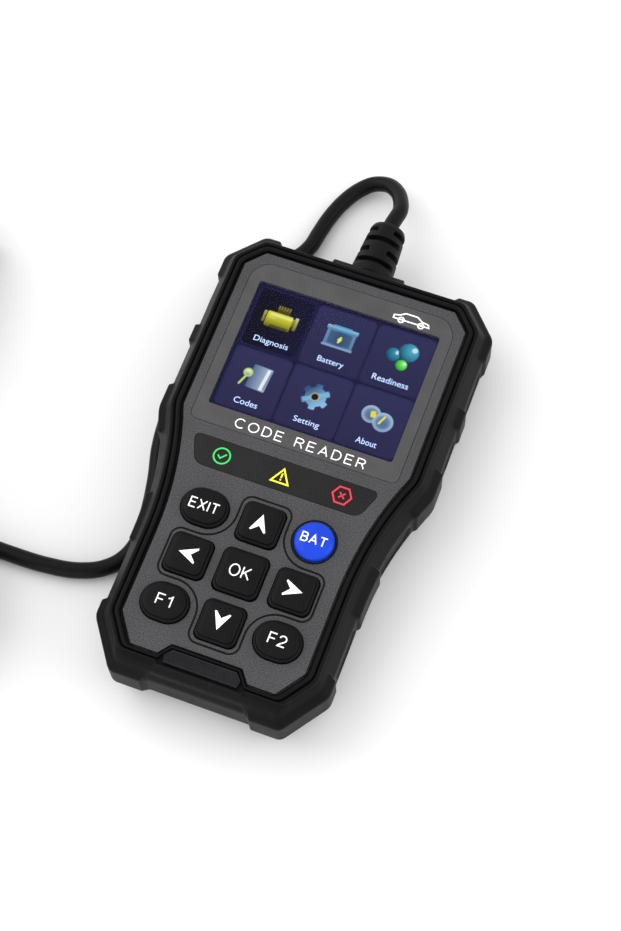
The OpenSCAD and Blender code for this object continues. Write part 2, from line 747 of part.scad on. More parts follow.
pin_step = 4;
row_gap = 8.4;
pin_places = [for (row = [-1, 1]) for (i = [-3.5:1:3.5]) [i * pin_step, row * row_gap / 2 - 0.3]];
module plug_pins() color(gold) {
  for (p = pin_places) translate([plug_x + p[0], shell_y + 28, plug_z + p[1]])
    rotate([-90, 0, 0]) cylinder(h = nose_front - shell_y - 28 - mouth, d = 2);
}

module plug_board() color(board_green) {
  translate([plug_x - 12, shell_y + 8, plug_z - 0.8]) cube([24, 20, 1.6]);
}

module plug_screws() color(metal) {
  plug_screw_places() translate([0, 0, 3]) screw(15, 1.7, 4, 1.6);
}

module plug_strain_relief() color(rubber_black) {
  translate([plug_x, plug_tip_y, plug_z]) rotate([-90, 0, 0]) {
    difference() {
      cylinder(h = shell_y - plug_tip_y - gap, d1 = 8, d2 = 13.6);
      for (i = [0:3]) translate([0, 0, 3.6 + i * 4.4]) for (s = [0, 180])
        rotate(s + 90 * (i % 2)) rotate_extrude(angle = 130) translate([3.2, 0]) square([5, 1.6]);
    }
    translate([0, 0, shell_y - plug_tip_y - gap]) cylinder(h = 2.4, d = 9);
    translate([0, 0, shell_y - plug_tip_y + 2.2]) cylinder(h = 2, d = 11.6);
  }
}

rear_cover();
front_cover();
bumper_frame();
grip_pad();
lens_bezel();
display_window();
display_panel();
display_frame();
display_ribbon();
ribbon_socket();
indicator_window();
light_guides();
indicator_leds();
main_board();
keypad_mat();
switch_domes();
processor();
board_chips();
board_capacitors();
crystal_can();
buzzer();
cable_header();
header_plug();
inner_wires();
cable_clamp();
board_screws();
rear_screws();
rear_plate();
key_up();
key_down();
key_left();
key_right();
key_ok();
key_exit();
key_battery();
key_f1();
key_f2();
strain_relief();
lead_run();
lead_coil();
lead_tail();
coil_tie();
plug_lower_shell();
plug_upper_shell();
plug_nose();
plug_pins();
plug_board();
plug_screws();
plug_strain_relief();
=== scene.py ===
import math

import bmesh
import bpy
import numpy as np
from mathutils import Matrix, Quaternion, Vector


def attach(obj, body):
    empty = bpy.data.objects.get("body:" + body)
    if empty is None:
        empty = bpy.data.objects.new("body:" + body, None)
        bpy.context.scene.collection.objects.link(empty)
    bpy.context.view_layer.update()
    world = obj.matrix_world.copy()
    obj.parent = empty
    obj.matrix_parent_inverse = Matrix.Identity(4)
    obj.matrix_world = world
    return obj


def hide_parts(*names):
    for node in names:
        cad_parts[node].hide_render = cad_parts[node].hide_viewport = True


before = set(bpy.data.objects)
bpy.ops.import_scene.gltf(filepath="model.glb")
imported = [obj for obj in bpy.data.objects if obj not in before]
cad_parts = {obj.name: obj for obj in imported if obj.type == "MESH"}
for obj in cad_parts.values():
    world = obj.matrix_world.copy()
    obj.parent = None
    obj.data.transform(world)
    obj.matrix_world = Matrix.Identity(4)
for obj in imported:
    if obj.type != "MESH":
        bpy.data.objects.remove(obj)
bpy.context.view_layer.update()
scene = bpy.context.scene
mm = 0.001
faceZ = 25.5  # surface of the face plate above the back
print("frame loaded,", len(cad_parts), "nodes")

# Camera: where it stands, what it looks at and how far it is rolled
cameraSet = {"place": (97.85, -201.04, 547.90), "target": (6.87, 3.2, 25.5), "roll": -3.8045, "lens": 75.618}


def link(name, data):
    # a new object holding the data, put in the scene
    made = bpy.data.objects.new(name, data)
    scene.collection.objects.link(made)
    return made


def aim(thing, place, target, roll=0):
    # stands at place in metres and looks at target, rolled about the line of sight
    thing.rotation_mode = "QUATERNION"
    thing.location = place
    turn = Quaternion((0, 0, 1), math.radians(roll))
    thing.rotation_quaternion = (Vector(target) - Vector(place)).to_track_quat("-Z", "Y") @ turn


def addCamera(c):
    # the main view: lens and sensor in millimetres, place and target in part millimetres
    data = bpy.data.cameras.new("benchCamera")
    data.lens, data.sensor_width = c["lens"], 36
    data.clip_start, data.clip_end = 0.05, 5
    camera = link("benchCamera", data)
    aim(camera, Vector(c["place"]) * mm, Vector(c["target"]) * mm, c["roll"])
    scene.camera = camera


addCamera(cameraSet)


class Value:
    # wraps a node's output; + and * on values add Math nodes
    def __init__(self, finish, socket):
        self.finish, self.socket = finish, socket

    def __add__(self, other):
        return self.finish.maths("ADD", self, other)

    def __mul__(self, other):
        return self.finish.maths("MULTIPLY", self, other)

    __radd__, __rmul__ = __add__, __mul__


class Finish:
    # one material with its Principled shader; node() adds any node: settings first, then inputs
    def __init__(self, name, **fixed):
        self.material = bpy.data.materials.new(name)
        self.material.use_nodes = True
        self.tree = self.material.node_tree
        self.shader = self.tree.nodes["Principled BSDF"]
        for key, value in fixed.items():
            self.shader.inputs[key.replace("_", " ")].default_value = value

    def node(self, kind, settings, inputs, output=0):
        # a new node with its settings made and its inputs fed; gives one of its outputs
        made = self.tree.nodes.new(kind)
        for key, value in settings.items():
            setattr(made, key, value)
        for key, value in inputs.items():
            self.put(made.inputs[key], value)
        return Value(self, made.outputs[output])

    def put(self, socket, value):
        # a Value is linked to the socket, anything else becomes its constant
        if isinstance(value, Value):
            self.tree.links.new(value.socket, socket)
        else:
            socket.default_value = value

    def feed(self, **inputs):
        # the shader's own sockets, with _ for a space in the name
        for key, value in inputs.items():
            self.put(self.shader.inputs[key.replace("_", " ")], value)

    def maths(self, operation, *values):
        # one Math node: the operation on the values in turn
        return self.node("ShaderNodeMath", {"operation": operation}, dict(enumerate(values)))

    def place(self):
        # place in the piece, in metres
        return self.node("ShaderNodeTexCoord", {}, {}, 3)

    def axis(self, index):
        # x, y or z of that place
        return self.node("ShaderNodeSeparateXYZ", {}, {0: self.place()}, index)

    def noise(self, size, detail=2.0, rough=0.5, stretch=(1, 1, 1)):
        # noise whose lumps are about size millimetres across
        where = self.node("ShaderNodeMapping", {}, {0: self.place(), "Scale": stretch})
        inputs = {"Vector": where, "Scale": 1 / (size * mm), "Detail": detail, "Roughness": rough}
        return self.node("ShaderNodeTexNoise", {}, inputs)

    def spread(self, value, low, high, toLow, toHigh):
        # value from low..high carried to toLow..toHigh and held there
        names = {"Value": value, 1: low, 2: high, 3: toLow, 4: toHigh}
        return self.node("ShaderNodeMapRange", {"clamp": True}, names)

    def mix(self, share, first, second):
        # first colour at share 0, second at share 1
        return self.node("ShaderNodeMix", {"data_type": "RGBA"}, {0: share, 6: first, 7: second}, 2)

    def bump(self, height, depth):
        # depth is the height of the relief in millimetres
        return self.node("ShaderNodeBump", {}, {"Height": height, "Distance": depth * mm, "Strength": 1.0})


def tint(code):
    # sRGB hex code as linear red, green, blue, alpha
    parts = np.array([int(code[i:i + 2], 16) for i in (1, 3, 5)]) / 255
    linear = np.where(parts <= 0.04045, parts / 12.92, ((parts + 0.055) / 1.055) ** 2.4)
    return (*linear.tolist(), 1.0)


def mouldedFinish(name, base, light, grain, depth, rough, speckle=0.0, sheen=0.12):
    # moulded plastic or rubber: fine grain in relief, slow cloudiness, a slightly uneven gloss
    f = Finish(name, Specular_IOR_Level=sheen)
    fine = f.noise(grain, 3.0, 0.6)
    slow = f.noise(grain * 45, 2.0)
    shade = f.spread(fine * speckle + slow * (1 - speckle), 0.3, 0.7, 0.0, 1.0)
    gloss = f.spread(slow + fine * 0.4, 0.4, 1.0, rough - 0.05, rough + 0.06)
    f.feed(Base_Color=f.mix(shade, tint(base), tint(light)), Roughness=gloss, Normal=f.bump(fine, depth))
    return f


# Moulded materials: two colours, grain size, relief depth, roughness, then share of speckle and gloss
mouldedSet = {
    "bumperRubber": ("#0b0b0c", "#101011", 0.16, 0.012, 0.46, 0.0, 0.09),
    "faceGrain": ("#262627", "#616163", 0.34, 0.05, 0.55, 0.9),
    "lensGrey": ("#4a4a4b", "#505051", 0.12, 0.004, 0.42),
    "keyRubber": ("#0a0a0b", "#0e0e0f", 0.14, 0.006, 0.42),
    "stripDark": ("#0d0d0d", "#303030", 0.34, 0.004, 0.38, 0.8),
    "shellBlack": ("#202022", "#29292c", 0.25, 0.03, 0.52),
    "plugBlack": ("#1d1d1f", "#262629", 0.22, 0.025, 0.5),
    "noseBlack": ("#19191b", "#202022", 0.15, 0.006, 0.4),
    "reliefRubber": ("#0c0c0d", "#121213", 0.15, 0.01, 0.45),
    "padRubber": ("#222224", "#2a2a2c", 0.15, 0.01, 0.5),
    "matRubber": ("#3a3b3e", "#444548", 0.2, 0.01, 0.6),
    "chipBlack": ("#26272a", "#303134", 0.12, 0.006, 0.55),
    "socketCream": ("#ddd6c4", "#e9e3d4", 0.2, 0.006, 0.5),
    "leadSheath": ("#0b0b0c", "#101011", 0.3, 0.008, 0.36),
    "keyBlue": ("#0c36c2", "#1648dc", 0.2, 0.006, 0.36),
}
finishes = {name: mouldedFinish(name, *values) for name, values in mouldedSet.items()}
for name, coat in {"lensGrey": 0.15, "keyBlue": 0.2}.items():
    finishes[name].shader.inputs["Coat Weight"].default_value = coat


def metalFinish(name, base, light, rough, stretch):
    # drawn or plated metal: fine streaks along one direction change colour and gloss
    f = Finish(name, Metallic=1.0)
    streak = f.noise(0.5, 4.0, 0.6, stretch)
    f.feed(Base_Color=f.mix(f.spread(streak, 0.3, 0.7, 0, 1), tint(base), tint(light)))
    f.feed(Roughness=f.spread(streak, 0.3, 0.7, rough - 0.07, rough + 0.08), Normal=f.bump(streak, 0.004))
    return f


def boardFinish():
    # solder mask over faint copper tracks: square waves along both directions
    f = Finish("boardGreen", Roughness=0.35)
    x, y = f.axis(0), f.axis(1)
    wave = f.maths("SINE", x * 2600 + f.noise(9, 0.0) * 14)
    track = f.spread(wave * f.maths("SINE", y * 2300), 0.1, 0.25, 0.0, 1.0)
    f.feed(Base_Color=f.mix(track, tint("#164a2b"), tint("#1f6238")), Normal=f.bump(track, 0.03))
    return f


def clearFinish(name, colour, light, alpha, rough):
    # clear plastic with a slow smear in its colour and clearness
    f = Finish(name, Roughness=rough, IOR=1.46)
    smear = f.noise(16, 2.0)
    clear = f.spread(smear, 0.3, 0.7, alpha * 0.7, alpha * 1.3)
    f.feed(Base_Color=f.mix(smear, tint(colour), tint(light)), Alpha=clear)
    return f


def inkFinish(name, colour, glow=0.0, rough=0.45):
    # printed or lit ink, a little uneven over its surface
    f = Finish(name, Roughness=rough)
    dim, dull = ((*[c * share for c in tint(colour)[:3]], 1.0) for share in (0.3, 0.8))
    shade = f.mix(f.spread(f.noise(0.35, 3.0), 0.25, 0.6, 0.9, 1.0), dull, tint(colour))
    f.feed(Base_Color=shade, Normal=f.bump(f.noise(0.2), 0.004))
    # glow makes the ink give off light: for the white print this is a painted glow
    if glow:
        f.feed(Base_Color=dim, Emission_Color=shade, Emission_Strength=glow)
    return f


def strapFinish():
    # hook and loop strap: crossing ribs with fuzz between them
    f = Finish("strapCloth", Roughness=0.85)
    rib = f.maths("SINE", f.axis(0) * 9000)
    fuzz = f.noise(0.3, 4.0, 0.7)
    f.feed(Base_Color=f.mix(fuzz, tint("#26262a"), tint("#4a4a50")), Normal=f.bump(rib * 0.4 + fuzz, 0.12))
    return f


metals = {
    "brushedSilver": ("#a3a5a9", "#c3c5c8", 0.36, (0.05, 1, 1)),
    "platedSteel": ("#8d8f93", "#b5b7bb", 0.3, (1, 1, 1)),
    "goldPin": ("#b58a2c", "#dcb554", 0.27, (1, 0.1, 1)),
}
clears = {"windowClear": ("#101218", "#1c2028", 0.05, 0.12), "guideClear": ("#cfe6da", "#ffffff", 0.5, 0.2)}
# colour, glow, roughness; the white print's glow is painted light, while the lamps and display labels glow with their
# own light
inks = {
    "ribbonFilm": ("#b5642a", 0, 0.3), "lampBody": ("#e8e0c0", 0, 0.3), "whitePrintPaintedGlow": ("#f4f4f4", 0.35),
    "lampGreen": ("#28b455", 0.75), "lampYellow": ("#e4dc28", 0.75), "lampRed": ("#cc2136", 0.75),
    "labelInk": ("#9db4dc", 1.0),
}
for table, makeFinish in ((metals, metalFinish), (clears, clearFinish), (inks, inkFinish)):
    finishes.update({name: makeFinish(name, *values) for name, values in table.items()})
finishes.update(boardGreen=boardFinish(), strapCloth=strapFinish())
print("finishes made:", len(finishes))


def step(x):
    # eased step from 0 to 1 as x goes from 0 to 1
    x = np.clip(x, 0, 1)
    return x * x * (3 - 2 * x)


def gridFaces(rows, cols, closeRows=False, closeCols=True):
    # quads between neighbours of a grid of points; a closed direction joins its last line to its first
    r = np.arange(rows if closeRows else rows - 1)
    c = np.arange(cols if closeCols else cols - 1)
    r, c = np.meshgrid(r, c, indexing="ij")
    nextR, nextC = (r + 1) % rows, (c + 1) % cols
    quads = [r * cols + c, r * cols + nextC, nextR * cols + nextC, nextR * cols + c]
    return np.stack(quads, -1).reshape(-1, 4).tolist()


def makePiece(name, points, faces, finish, body="housing", sharp=38, closed=True):
    # points in millimetres become one mesh at the origin, faces outwards, riding on a body
    mesh = bpy.data.meshes.new(name)
    mesh.from_pydata((np.asarray(points, float).reshape(-1, 3) * mm).tolist(), [], faces)
    if closed:
        work = bmesh.new()
        work.from_mesh(mesh)
        bmesh.ops.recalc_face_normals(work, faces=work.faces)
        work.to_mesh(mesh)
        work.free()
    mesh.polygons.foreach_set("use_smooth", np.ones(len(mesh.polygons), bool))
    mesh.set_sharp_from_angle(angle=math.radians(sharp))
    mesh.materials.append(finishes[finish].material)
    piece = link(name, mesh)
    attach(piece, body)
    return piece


def standIn(piece, slot, *nodes):
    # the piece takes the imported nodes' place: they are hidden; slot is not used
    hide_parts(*nodes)
    return piece


def loft(name, rings, finish, body="housing", sharp=38):
    # closed rings one after another, with the first and last ring filled
    rows, cols = rings.shape[:2]
    faces = gridFaces(rows, cols)
    faces += [list(range(cols))[::-1], list(range((rows - 1) * cols, rows * cols))]
    return makePiece(name, rings, faces, finish, body, sharp)


def roundedRings(halfX, halfY, radius, count=12):
    # rounded rectangles, one per row of the sizes: four corner arcs joined by straight sides
    halfX, halfY, radius = (np.asarray(v, float)[:, None] for v in (halfX, halfY, radius))
    quarter = np.linspace(0, np.pi / 2, count)
    angle = np.concatenate([quarter + k * np.pi / 2 for k in range(4)])[None]
    signX, signY = np.repeat([1, -1, -1, 1], count)[None], np.repeat([1, 1, -1, -1], count)[None]
    x = signX * (halfX - radius) + radius * np.cos(angle)
    y = signY * (halfY - radius) + radius * np.sin(angle)
    return x, y


# Lead: the route of its middle, the coil and the run to the plug
lead = {
    "diameter": 5.0,
    "exit": (0, 91.4, 13.5),
    "run": [(0, 91.4, 13.5), (0, 93.4, 13.5), (0.3, 96, 13.1), (0.6, 99.4, 12.1), (-0.6, 103.8, 10.2),
            (-3.4, 108.4, 7.8), (-7.6, 111.2, 5.4), (-12.4, 110.8, 3.7), (-16.6, 107, 2.8),
            (-19.6, 101.6, 2.5), (-21.6, 95.4, 2.5), (-22.8, 89, 2.5), (-23.8, 83, 2.5),
            (-26.2, 78.4, 2.5), (-30.6, 75.8, 2.5), (-35.4, 73.6, 2.5), (-39.6, 69.8, 2.5),
            (-42.8, 64.6, 2.5), (-44, 58, 2.5), (-44, 46, 2.5), (-44, 34, 2.5), (-44, 22, 2.5),
            (-44, 12, 2.5), (-42.6, 2, 2.5), (-39.8, -8, 2.5), (-37.8, -18, 2.5), (-37, -25, 2.5),
            (-37.4, -30.6, 2.5), (-39.6, -36, 2.5), (-44.2, -40.4, 2.5), (-50.6, -43.2, 2.5),
            (-60, -44.8, 2.5), (-72, -45.2, 2.5), (-84, -45.1, 2.6)],
    "coilCentre": (-98.5, -70), "coilRadius": 25, "coilFrom": 95, "coilTo": 1200,
    "coilFloor": 3.0, "coilPitch": 5.2,
    "tail": [(-117, -50.8, 18.8), (-123, -52.9, 17.2), (-129, -53, 15.2), (-134.2, -50.8, 13.6),
             (-138.2, -46.8, 12.6), (-140.3, -41.6, 12.1), (-141, -36.6, 12), (-141, -33.4, 12), (-141, -32, 12)],
    "coilStep": 15, "spacing": 1.1, "sides": 28,
}


def leadRoute(c):
    # run, then coil points at even angles rising evenly, then tail
    angle = np.linspace(c["coilFrom"], c["coilTo"], int((c["coilTo"] - c["coilFrom"]) / c["coilStep"]) + 1)
    a = np.radians(angle)
    turns = np.stack([c["coilCentre"][0] + c["coilRadius"] * np.cos(a),
                      c["coilCentre"][1] + c["coilRadius"] * np.sin(a),
                      c["coilFloor"] + c["coilPitch"] * (angle - c["coilFrom"]) / 360], -1)
    return np.concatenate([np.array(c["run"], float), turns, np.array(c["tail"], float)])


def smoothRoute(points, spacing):
    # cubic curve through the points: each span's tangents come from its neighbours, spaced by chord length
    chord = np.linalg.norm(np.diff(points, axis=0), axis=1)
    knot = np.concatenate([[0], np.cumsum(chord)])
    slope = np.gradient(points, knot, axis=0)
    at = np.linspace(0, knot[-1], int(knot[-1] / spacing))
    span = np.clip(np.searchsorted(knot, at, side="right") - 1, 0, len(chord) - 1)
    h = chord[span][:, None]
    t = ((at - knot[span]) / chord[span])[:, None]
    here, there, leave, arrive = points[span], points[span + 1], slope[span] * h, slope[span + 1] * h
    ends = (2 * t**3 - 3 * t**2 + 1) * here + (3 * t**2 - 2 * t**3) * there
    return ends + (t**3 - 2 * t**2 + t) * leave + (t**3 - t**2) * arrive


def tube(name, path, diameter, sides, finish):
    # circle carried along the path: one side arm stays level, the other completes the frame
    ahead = np.gradient(path, axis=0)
    ahead /= np.linalg.norm(ahead, axis=1, keepdims=True)
    side = np.cross(ahead, [0, 0, 1])
    side /= np.linalg.norm(side, axis=1, keepdims=True)
    up = np.cross(side, ahead)
    a = np.linspace(0, 2 * np.pi, sides, endpoint=False)[None, :, None]
    rings = path[:, None] + diameter / 2 * (np.cos(a) * side[:, None] + np.sin(a) * up[:, None])
    return loft(name, rings, finish, sharp=60)


leadPath = smoothRoute(leadRoute(lead), lead["spacing"])
leadCable = tube("leadCable", leadPath, lead["diameter"], lead["sides"], "leadSheath")
standIn(leadCable, "lead_sheath", "lead_run", "lead_coil", "lead_tail")

# Strain reliefs: radii along the length, and rows of slots cut from two sides in turn
deviceRelief = {
    "name": "leadRelief", "node": "strain_relief", "x": 0, "z": 13.5, "foot": 66.5, "tip": 91.4,
    "profile": [(66.5, 4.4), (72.4, 4.4), (72.6, 6.6), (74.4, 6.8), (74.9, 6.75), (76.6, 6.6), (87.6, 5.85),
                (89.6, 5.7), (90.8, 5.2), (91.35, 4.3), (91.4, 2.9)],
    "slots": [76.4, 80.4, 84.4, 88.0], "slotWide": 1.5, "slotDeep": 1.9, "turn": 90,
}
plugRelief = {
    "name": "plugRelief", "node": "plug_strain_relief", "x": -141, "z": 12, "foot": -6, "tip": -32,
    "profile": [(-6, 4.4), (-9.8, 4.4), (-10, 6.6), (-11.5, 6.75), (-12.5, 6.6), (-29.5, 4.3), (-31.3, 3.9),
                (-31.9, 3.4), (-32, 2.7)],
    "slots": [-14.6, -19, -23.4, -27.6], "slotWide": 1.5, "slotDeep": 1.5, "turn": 0,
}


def strainRelief(c):
    # body of revolution along y; radius drops by slotDeep inside a slot: a band along y times two arcs of angle
    ys, rs = np.array(c["profile"]).T
    way = 1 if c["tip"] > c["foot"] else -1
    y = np.linspace(c["foot"], c["tip"], 170)
    radius = np.interp(y * way, ys * way, rs)[:, None]
    a = np.linspace(0, 2 * np.pi, 120, endpoint=False)[None]
    cut = np.zeros((len(y), 120))
    for row, at in enumerate(c["slots"]):
        turn = math.radians(c["turn"] + 90 * (row % 2))
        band = step((c["slotWide"] / 2 - abs(y - at)) / 0.3 + 0.5)[:, None]
        cut = np.maximum(cut, band * step((abs(np.cos(a - turn)) - 0.42) / 0.14))
    radius = radius - c["slotDeep"] * cut * (radius > 3)
    y = np.broadcast_to(y[:, None], cut.shape)
    rings = np.stack([c["x"] + radius * np.cos(a), y, c["z"] + radius * np.sin(a)], -1)
    return standIn(loft(c["name"], rings, "reliefRubber", sharp=50), "relief_rubber", c["node"])


leadRelief = strainRelief(deviceRelief)
plugReliefPiece = strainRelief(plugRelief)

# Tie round the coil
tie = {"x": -98.5, "y": -94.67, "halfWide": 6, "halfY": 3.63, "bottom": 2.3, "top": 19.1, "thick": 0.5}


def coilTie(c):
    # rounded loop in the y-z plane, its flat cross-section running along x
    halfZ = (c["top"] - c["bottom"]) / 2
    inset = np.array([0, 0, c["thick"], c["thick"]])
    y, z = roundedRings(c["halfY"] - inset, halfZ - inset, 2.4 - inset, 10)
    x = np.array([-1, 1, 1, -1])[:, None] * c["halfWide"] + y * 0 + c["x"]
    rings = np.stack([x, y + c["y"], z + c["bottom"] + halfZ], -1)
    piece = makePiece("coilTie", rings, gridFaces(4, rings.shape[1], True, True), "strapCloth")
    return standIn(piece, "tie_strap", "coil_tie")


coilTiePiece = coilTie(tie)
print("lead, reliefs and tie made")

# Bumper: outline of the face plate it runs round, and its cross-section between the pads and at the pads
plate = {
    "right": [(30.3, 64.85), (35.5, 59.25), (35.5, 9.15)], "foot": [(27.8, -56.35), (21.8, -64.85)],
    "waistRadius": 110, "waistCentre": (137.8, -31.35), "waistHigh": 40.5, "cornerCut": 1.6, "lowEnd": -64,
}
bumper = {
    "samples": 1250, "endBeads": 0.62, "padRamp": 0.9,
    "pads": [(31.35, 37.35), (0.65, 16.15), (-33.95, -18.65)],
    "topPad": (28.5, 55), "footPad": (16, -53.35), "collar": 11.5,
    # reach between pads, height, reach at pads, height, steps to the next
    "rows": [(1.15, 1.5, 1.15, 1.5, 1), (1.15, 0, 1.15, 0, 1), (3.2, 0, 3.8, 0, 2), (3.75, 0.35, 4.35, 0.35, 9),
             (6.75, 7.9, 7.62, 8.9, 1), (6.93, 8.6, 7.84, 9.6, 1), (7, 9.3, 7.9, 10.3, 9), (7, 17.9, 7.9, 19.2, 1),
             (6.92, 18.7, 7.85, 19.7, 1), (6.7, 19.4, 7.65, 20.1, 1), (6.3, 20.1, 7.3, 20.45, 2),
             (5.5, 21.8, 5.7, 21.5, 4), (4.2, 24.5, 4.2, 24.5, 1)],
    "outerBead": (3.2, 0.68, 24.9, 0.85), "groove": (2.4, 24.85), "innerBead": (1.5, 0.78, 25.0, 1.15),
    "lip": [(0.66, 24.45), (0.14, 24.4), (0.05, 24.15)], "inside": [(3.45, 24.12), (3.45, 1.5)],
    "notch": (10.6, 13.7, 4.0), "dip": (11.6, 0.95),
    # wall panels: from, to along y; middle height, half height, depth
    "panels": [(-16.9, -1.2), (-51.3, -36), (18, 29.6), (39.2, 53.2)],
    "panelZ": 13.4, "panelHalf": 4.3, "panelDeep": 0.55, "endPanel": (14.6, 22.4, 0.6), "wallReach": 7,
}


def unitRows(v):
    # each row divided by its own length
    return v / np.linalg.norm(v, axis=-1, keepdims=True)


def plateOutline(c):
    # corners and waist arc on the right, then the same mirrored, clockwise from the top
    arc = np.linspace(np.pi - math.asin(c["waistHigh"] / c["waistRadius"]), np.pi, 30)
    waist = np.stack([np.cos(arc), np.sin(arc)], -1) * c["waistRadius"] + c["waistCentre"]
    right = np.concatenate([np.array(c["right"]), waist[1:], np.array(c["foot"])])
    return np.concatenate([right, right[::-1] * [-1, 1]])


def outlineArms(outline, cut, endShare):
    # softened corners (two-sided curve inside each corner) with the arm each point moves along per unit of
    # reach; an arm solves normalA . arm = shareA and normalB . arm = shareB, less on the lower end
    back, on = np.roll(outline, 1, 0) - outline, np.roll(outline, -1, 0) - outline
    uBack, uOn = unitRows(back), unitRows(on)
    normal = np.stack([-uOn[:, 1], uOn[:, 0]], -1)
    before = np.roll(normal, 1, 0)
    low = outline[:, 1] < plate["lowEnd"]
    lowEnd = low & np.roll(low, -1)
    arms = []
    for share in (1.0, endShare):
        w = np.where(lowEnd, share, 1.0)
        matrix = np.stack([before, normal], 1)
        flat = np.abs(np.linalg.det(matrix)) < 0.2
        matrix[flat] = np.eye(2)
        arm = np.linalg.solve(matrix, np.stack([np.roll(w, 1), w], -1)[..., None])[..., 0]
        even = (before + normal) / (1 + (before * normal).sum(-1, keepdims=True))
        arms.append(np.where(flat[:, None], even, arm))
    turn = np.degrees(np.arccos(np.clip(-(uBack * uOn).sum(-1), -1, 1)))
    c = np.where(turn > 12, cut, 0)[:, None, None]
    t = np.linspace(0, 1, 9)[None, :, None]
    p = outline[:, None]
    soft = (1 - t)**2 * (p + uBack[:, None] * c) + 2 * t * (1 - t) * p + t**2 * (p + uOn[:, None] * c)
    return soft.reshape(-1, 2), np.repeat(arms[0], 9, 0), np.repeat(arms[1], 9, 0)


def padCover(c, x, y):
    # 1 on a pad, 0 between pads, with short ramps at the pads' ends
    r, ax = c["padRamp"], abs(x)
    cover = step((ax - c["topPad"][0]) / r + 0.5) * step((y - c["topPad"][1]) / r + 0.5)
    cover = np.maximum(cover, step((ax - c["footPad"][0]) / r + 0.5) * step((c["footPad"][1] - y) / r + 0.5))
    cover = np.maximum(cover, step((c["collar"] - ax) / r + 0.5) * (y > 60))
    for low, high in c["pads"]:
        cover = np.maximum(cover, step((y - low) / r + 0.5) * step((high - y) / r + 0.5) * (ax > 20))
    return cover


def bumperFrame(c):
    # closed cross-section carried round the plate; samples crowd where pads, corners and the notch change it
    base, wallArm, beadArm = outlineArms(plateOutline(plate), plate["cornerCut"], c["endBeads"])
    table = np.concatenate([base, wallArm, beadArm], 1)
    table = np.concatenate([table, table[:1]])
    length = np.concatenate([[0], np.cumsum(np.linalg.norm(np.diff(table[:, :2], axis=0), axis=1) + 1e-9)])
    fine = np.linspace(0, length[-1], 16001)
    track = np.stack([np.interp(fine, length, col) for col in table.T], -1)
    wall = track[:, :2] + c["wallReach"] * track[:, 2:4]
    busy = 1 + 3 * (np.abs(np.gradient(padCover(c, *wall.T), fine)) > 0.02)
    busy = busy + 14 * np.linalg.norm(np.gradient(track[:, 2:4], fine, axis=0), axis=1).clip(0, 0.4)
    busy += 1.5 * ((abs(abs(track[:, 0]) - 12) < 3) & (track[:, 1] < plate["lowEnd"]))
    share = np.concatenate([[0], np.cumsum(busy[1:])])
    at = np.interp(np.linspace(0, share[-1], c["samples"], endpoint=False), share, fine)
    base, wallArm, beadArm = np.split(np.stack([np.interp(at, fine, col) for col in track.T], -1), 3, 1)

    # cross-section rows: reach and height between pads and at pads, share of wall arm, share of notch
    listed = np.array(c["rows"])
    rows = []
    for here, there in zip(listed[:-1], listed[1:]):
        rows += [(*(here + (there - here) * k / here[4])[:4], 1, 0) for k in range(int(here[4]))]
    rows.append((*listed[-1][:4], 0.3, 0))
    around = np.linspace(0, np.pi, 9)
    for middle, half, foot, rise, notch in ((*c["outerBead"], 0), (*c["innerBead"], 1)):
        d, z = middle + half * np.cos(around), foot + rise * np.sin(around)**0.8
        rows += [(p, q, p, q, 0, notch) for p, q in zip(d, z)]
        if not notch:
            d, z = c["groove"]
            rows += [(d, z, d, z, 0, 0), (d, z, d, z, 0, 1)]
    rows += [(d, z, d, z, 0, 1) for d, z in c["lip"]] + [(d, z, d, z, 1, 0) for d, z in c["inside"]]
    r = np.array(rows, float)

    x, y = (base + c["wallReach"] * wallArm).T
    pad = padCover(c, x, y)[None]
    reach = r[:, 0, None] * (1 - pad) + r[:, 2, None] * pad
    height = r[:, 1, None] * (1 - pad) + r[:, 3, None] * pad
    outer = ((r[:, 0] > 4) & (r[:, 4] > 0.9))[:, None]
    for low, high in c["panels"]:
        along = np.maximum(abs(y - (low + high) / 2) - ((high - low) / 2 - c["panelHalf"]), 0)[None]
        off = np.hypot(along, height - c["panelZ"])
        inside = step((c["panelHalf"] - off) / 0.7 + 0.5) * (abs(x) > 20)[None]
        reach = reach - c["panelDeep"] * inside * outer
    halfX, topZ, deep = c["endPanel"]
    flare = halfX + 0.12 * (topZ - height)
    inside = step((flare - abs(x)[None]) / 0.8 + 0.5) * step((topZ - height) / 0.9) * (y < -66)[None]
    reach = reach - deep * inside * outer

    # lower end: the inner rows follow the notch, the outer bead dips round the grip pad
    ax = abs(base[:, 0])
    low = base[:, 1] < -64.8
    head, foot, up = c["notch"]
    lean = -(math.hypot(foot - head, up) - (foot - head)) / up * c["endBeads"]
    notched = base.copy()
    notched[:, 1] += np.where(low, np.interp(ax, [head, foot], [up, 0]), 0)
    notchArm = beadArm.copy()
    hold = np.where(low, np.interp(ax, [foot, foot + 1.8], [1, 0]), 0)
    notchArm[:, 0] = hold * lean * np.clip(base[:, 0] / head, -1, 1) + (1 - hold) * beadArm[:, 0]
    dip = np.where(low, step((c["dip"][0] + 0.5 - ax) / 1.0), 0) * c["dip"][1]
    wallShare, notchShare = r[:, 4, None, None], r[:, 5, None, None]
    plain = base[None] + reach[..., None] * (wallShare * wallArm + (1 - wallShare) * beadArm)
    plain[..., 1] -= dip[None] * (1 - r[:, 4])[:, None] ** 2
    inner = notched[None] + reach[..., None] * notchArm
    flatPlan = (1 - notchShare) * plain + notchShare * inner
    points = np.concatenate([flatPlan, height[..., None]], -1)
    faces = gridFaces(*points.shape[:2], True, True)
    return standIn(makePiece("bumperFrame", points, faces, "bumperRubber", sharp=42), "bumper_rubber", "bumper_frame")


bumperPiece = bumperFrame(bumper)
print("bumper made,", len(bumperPiece.data.polygons), "faces")

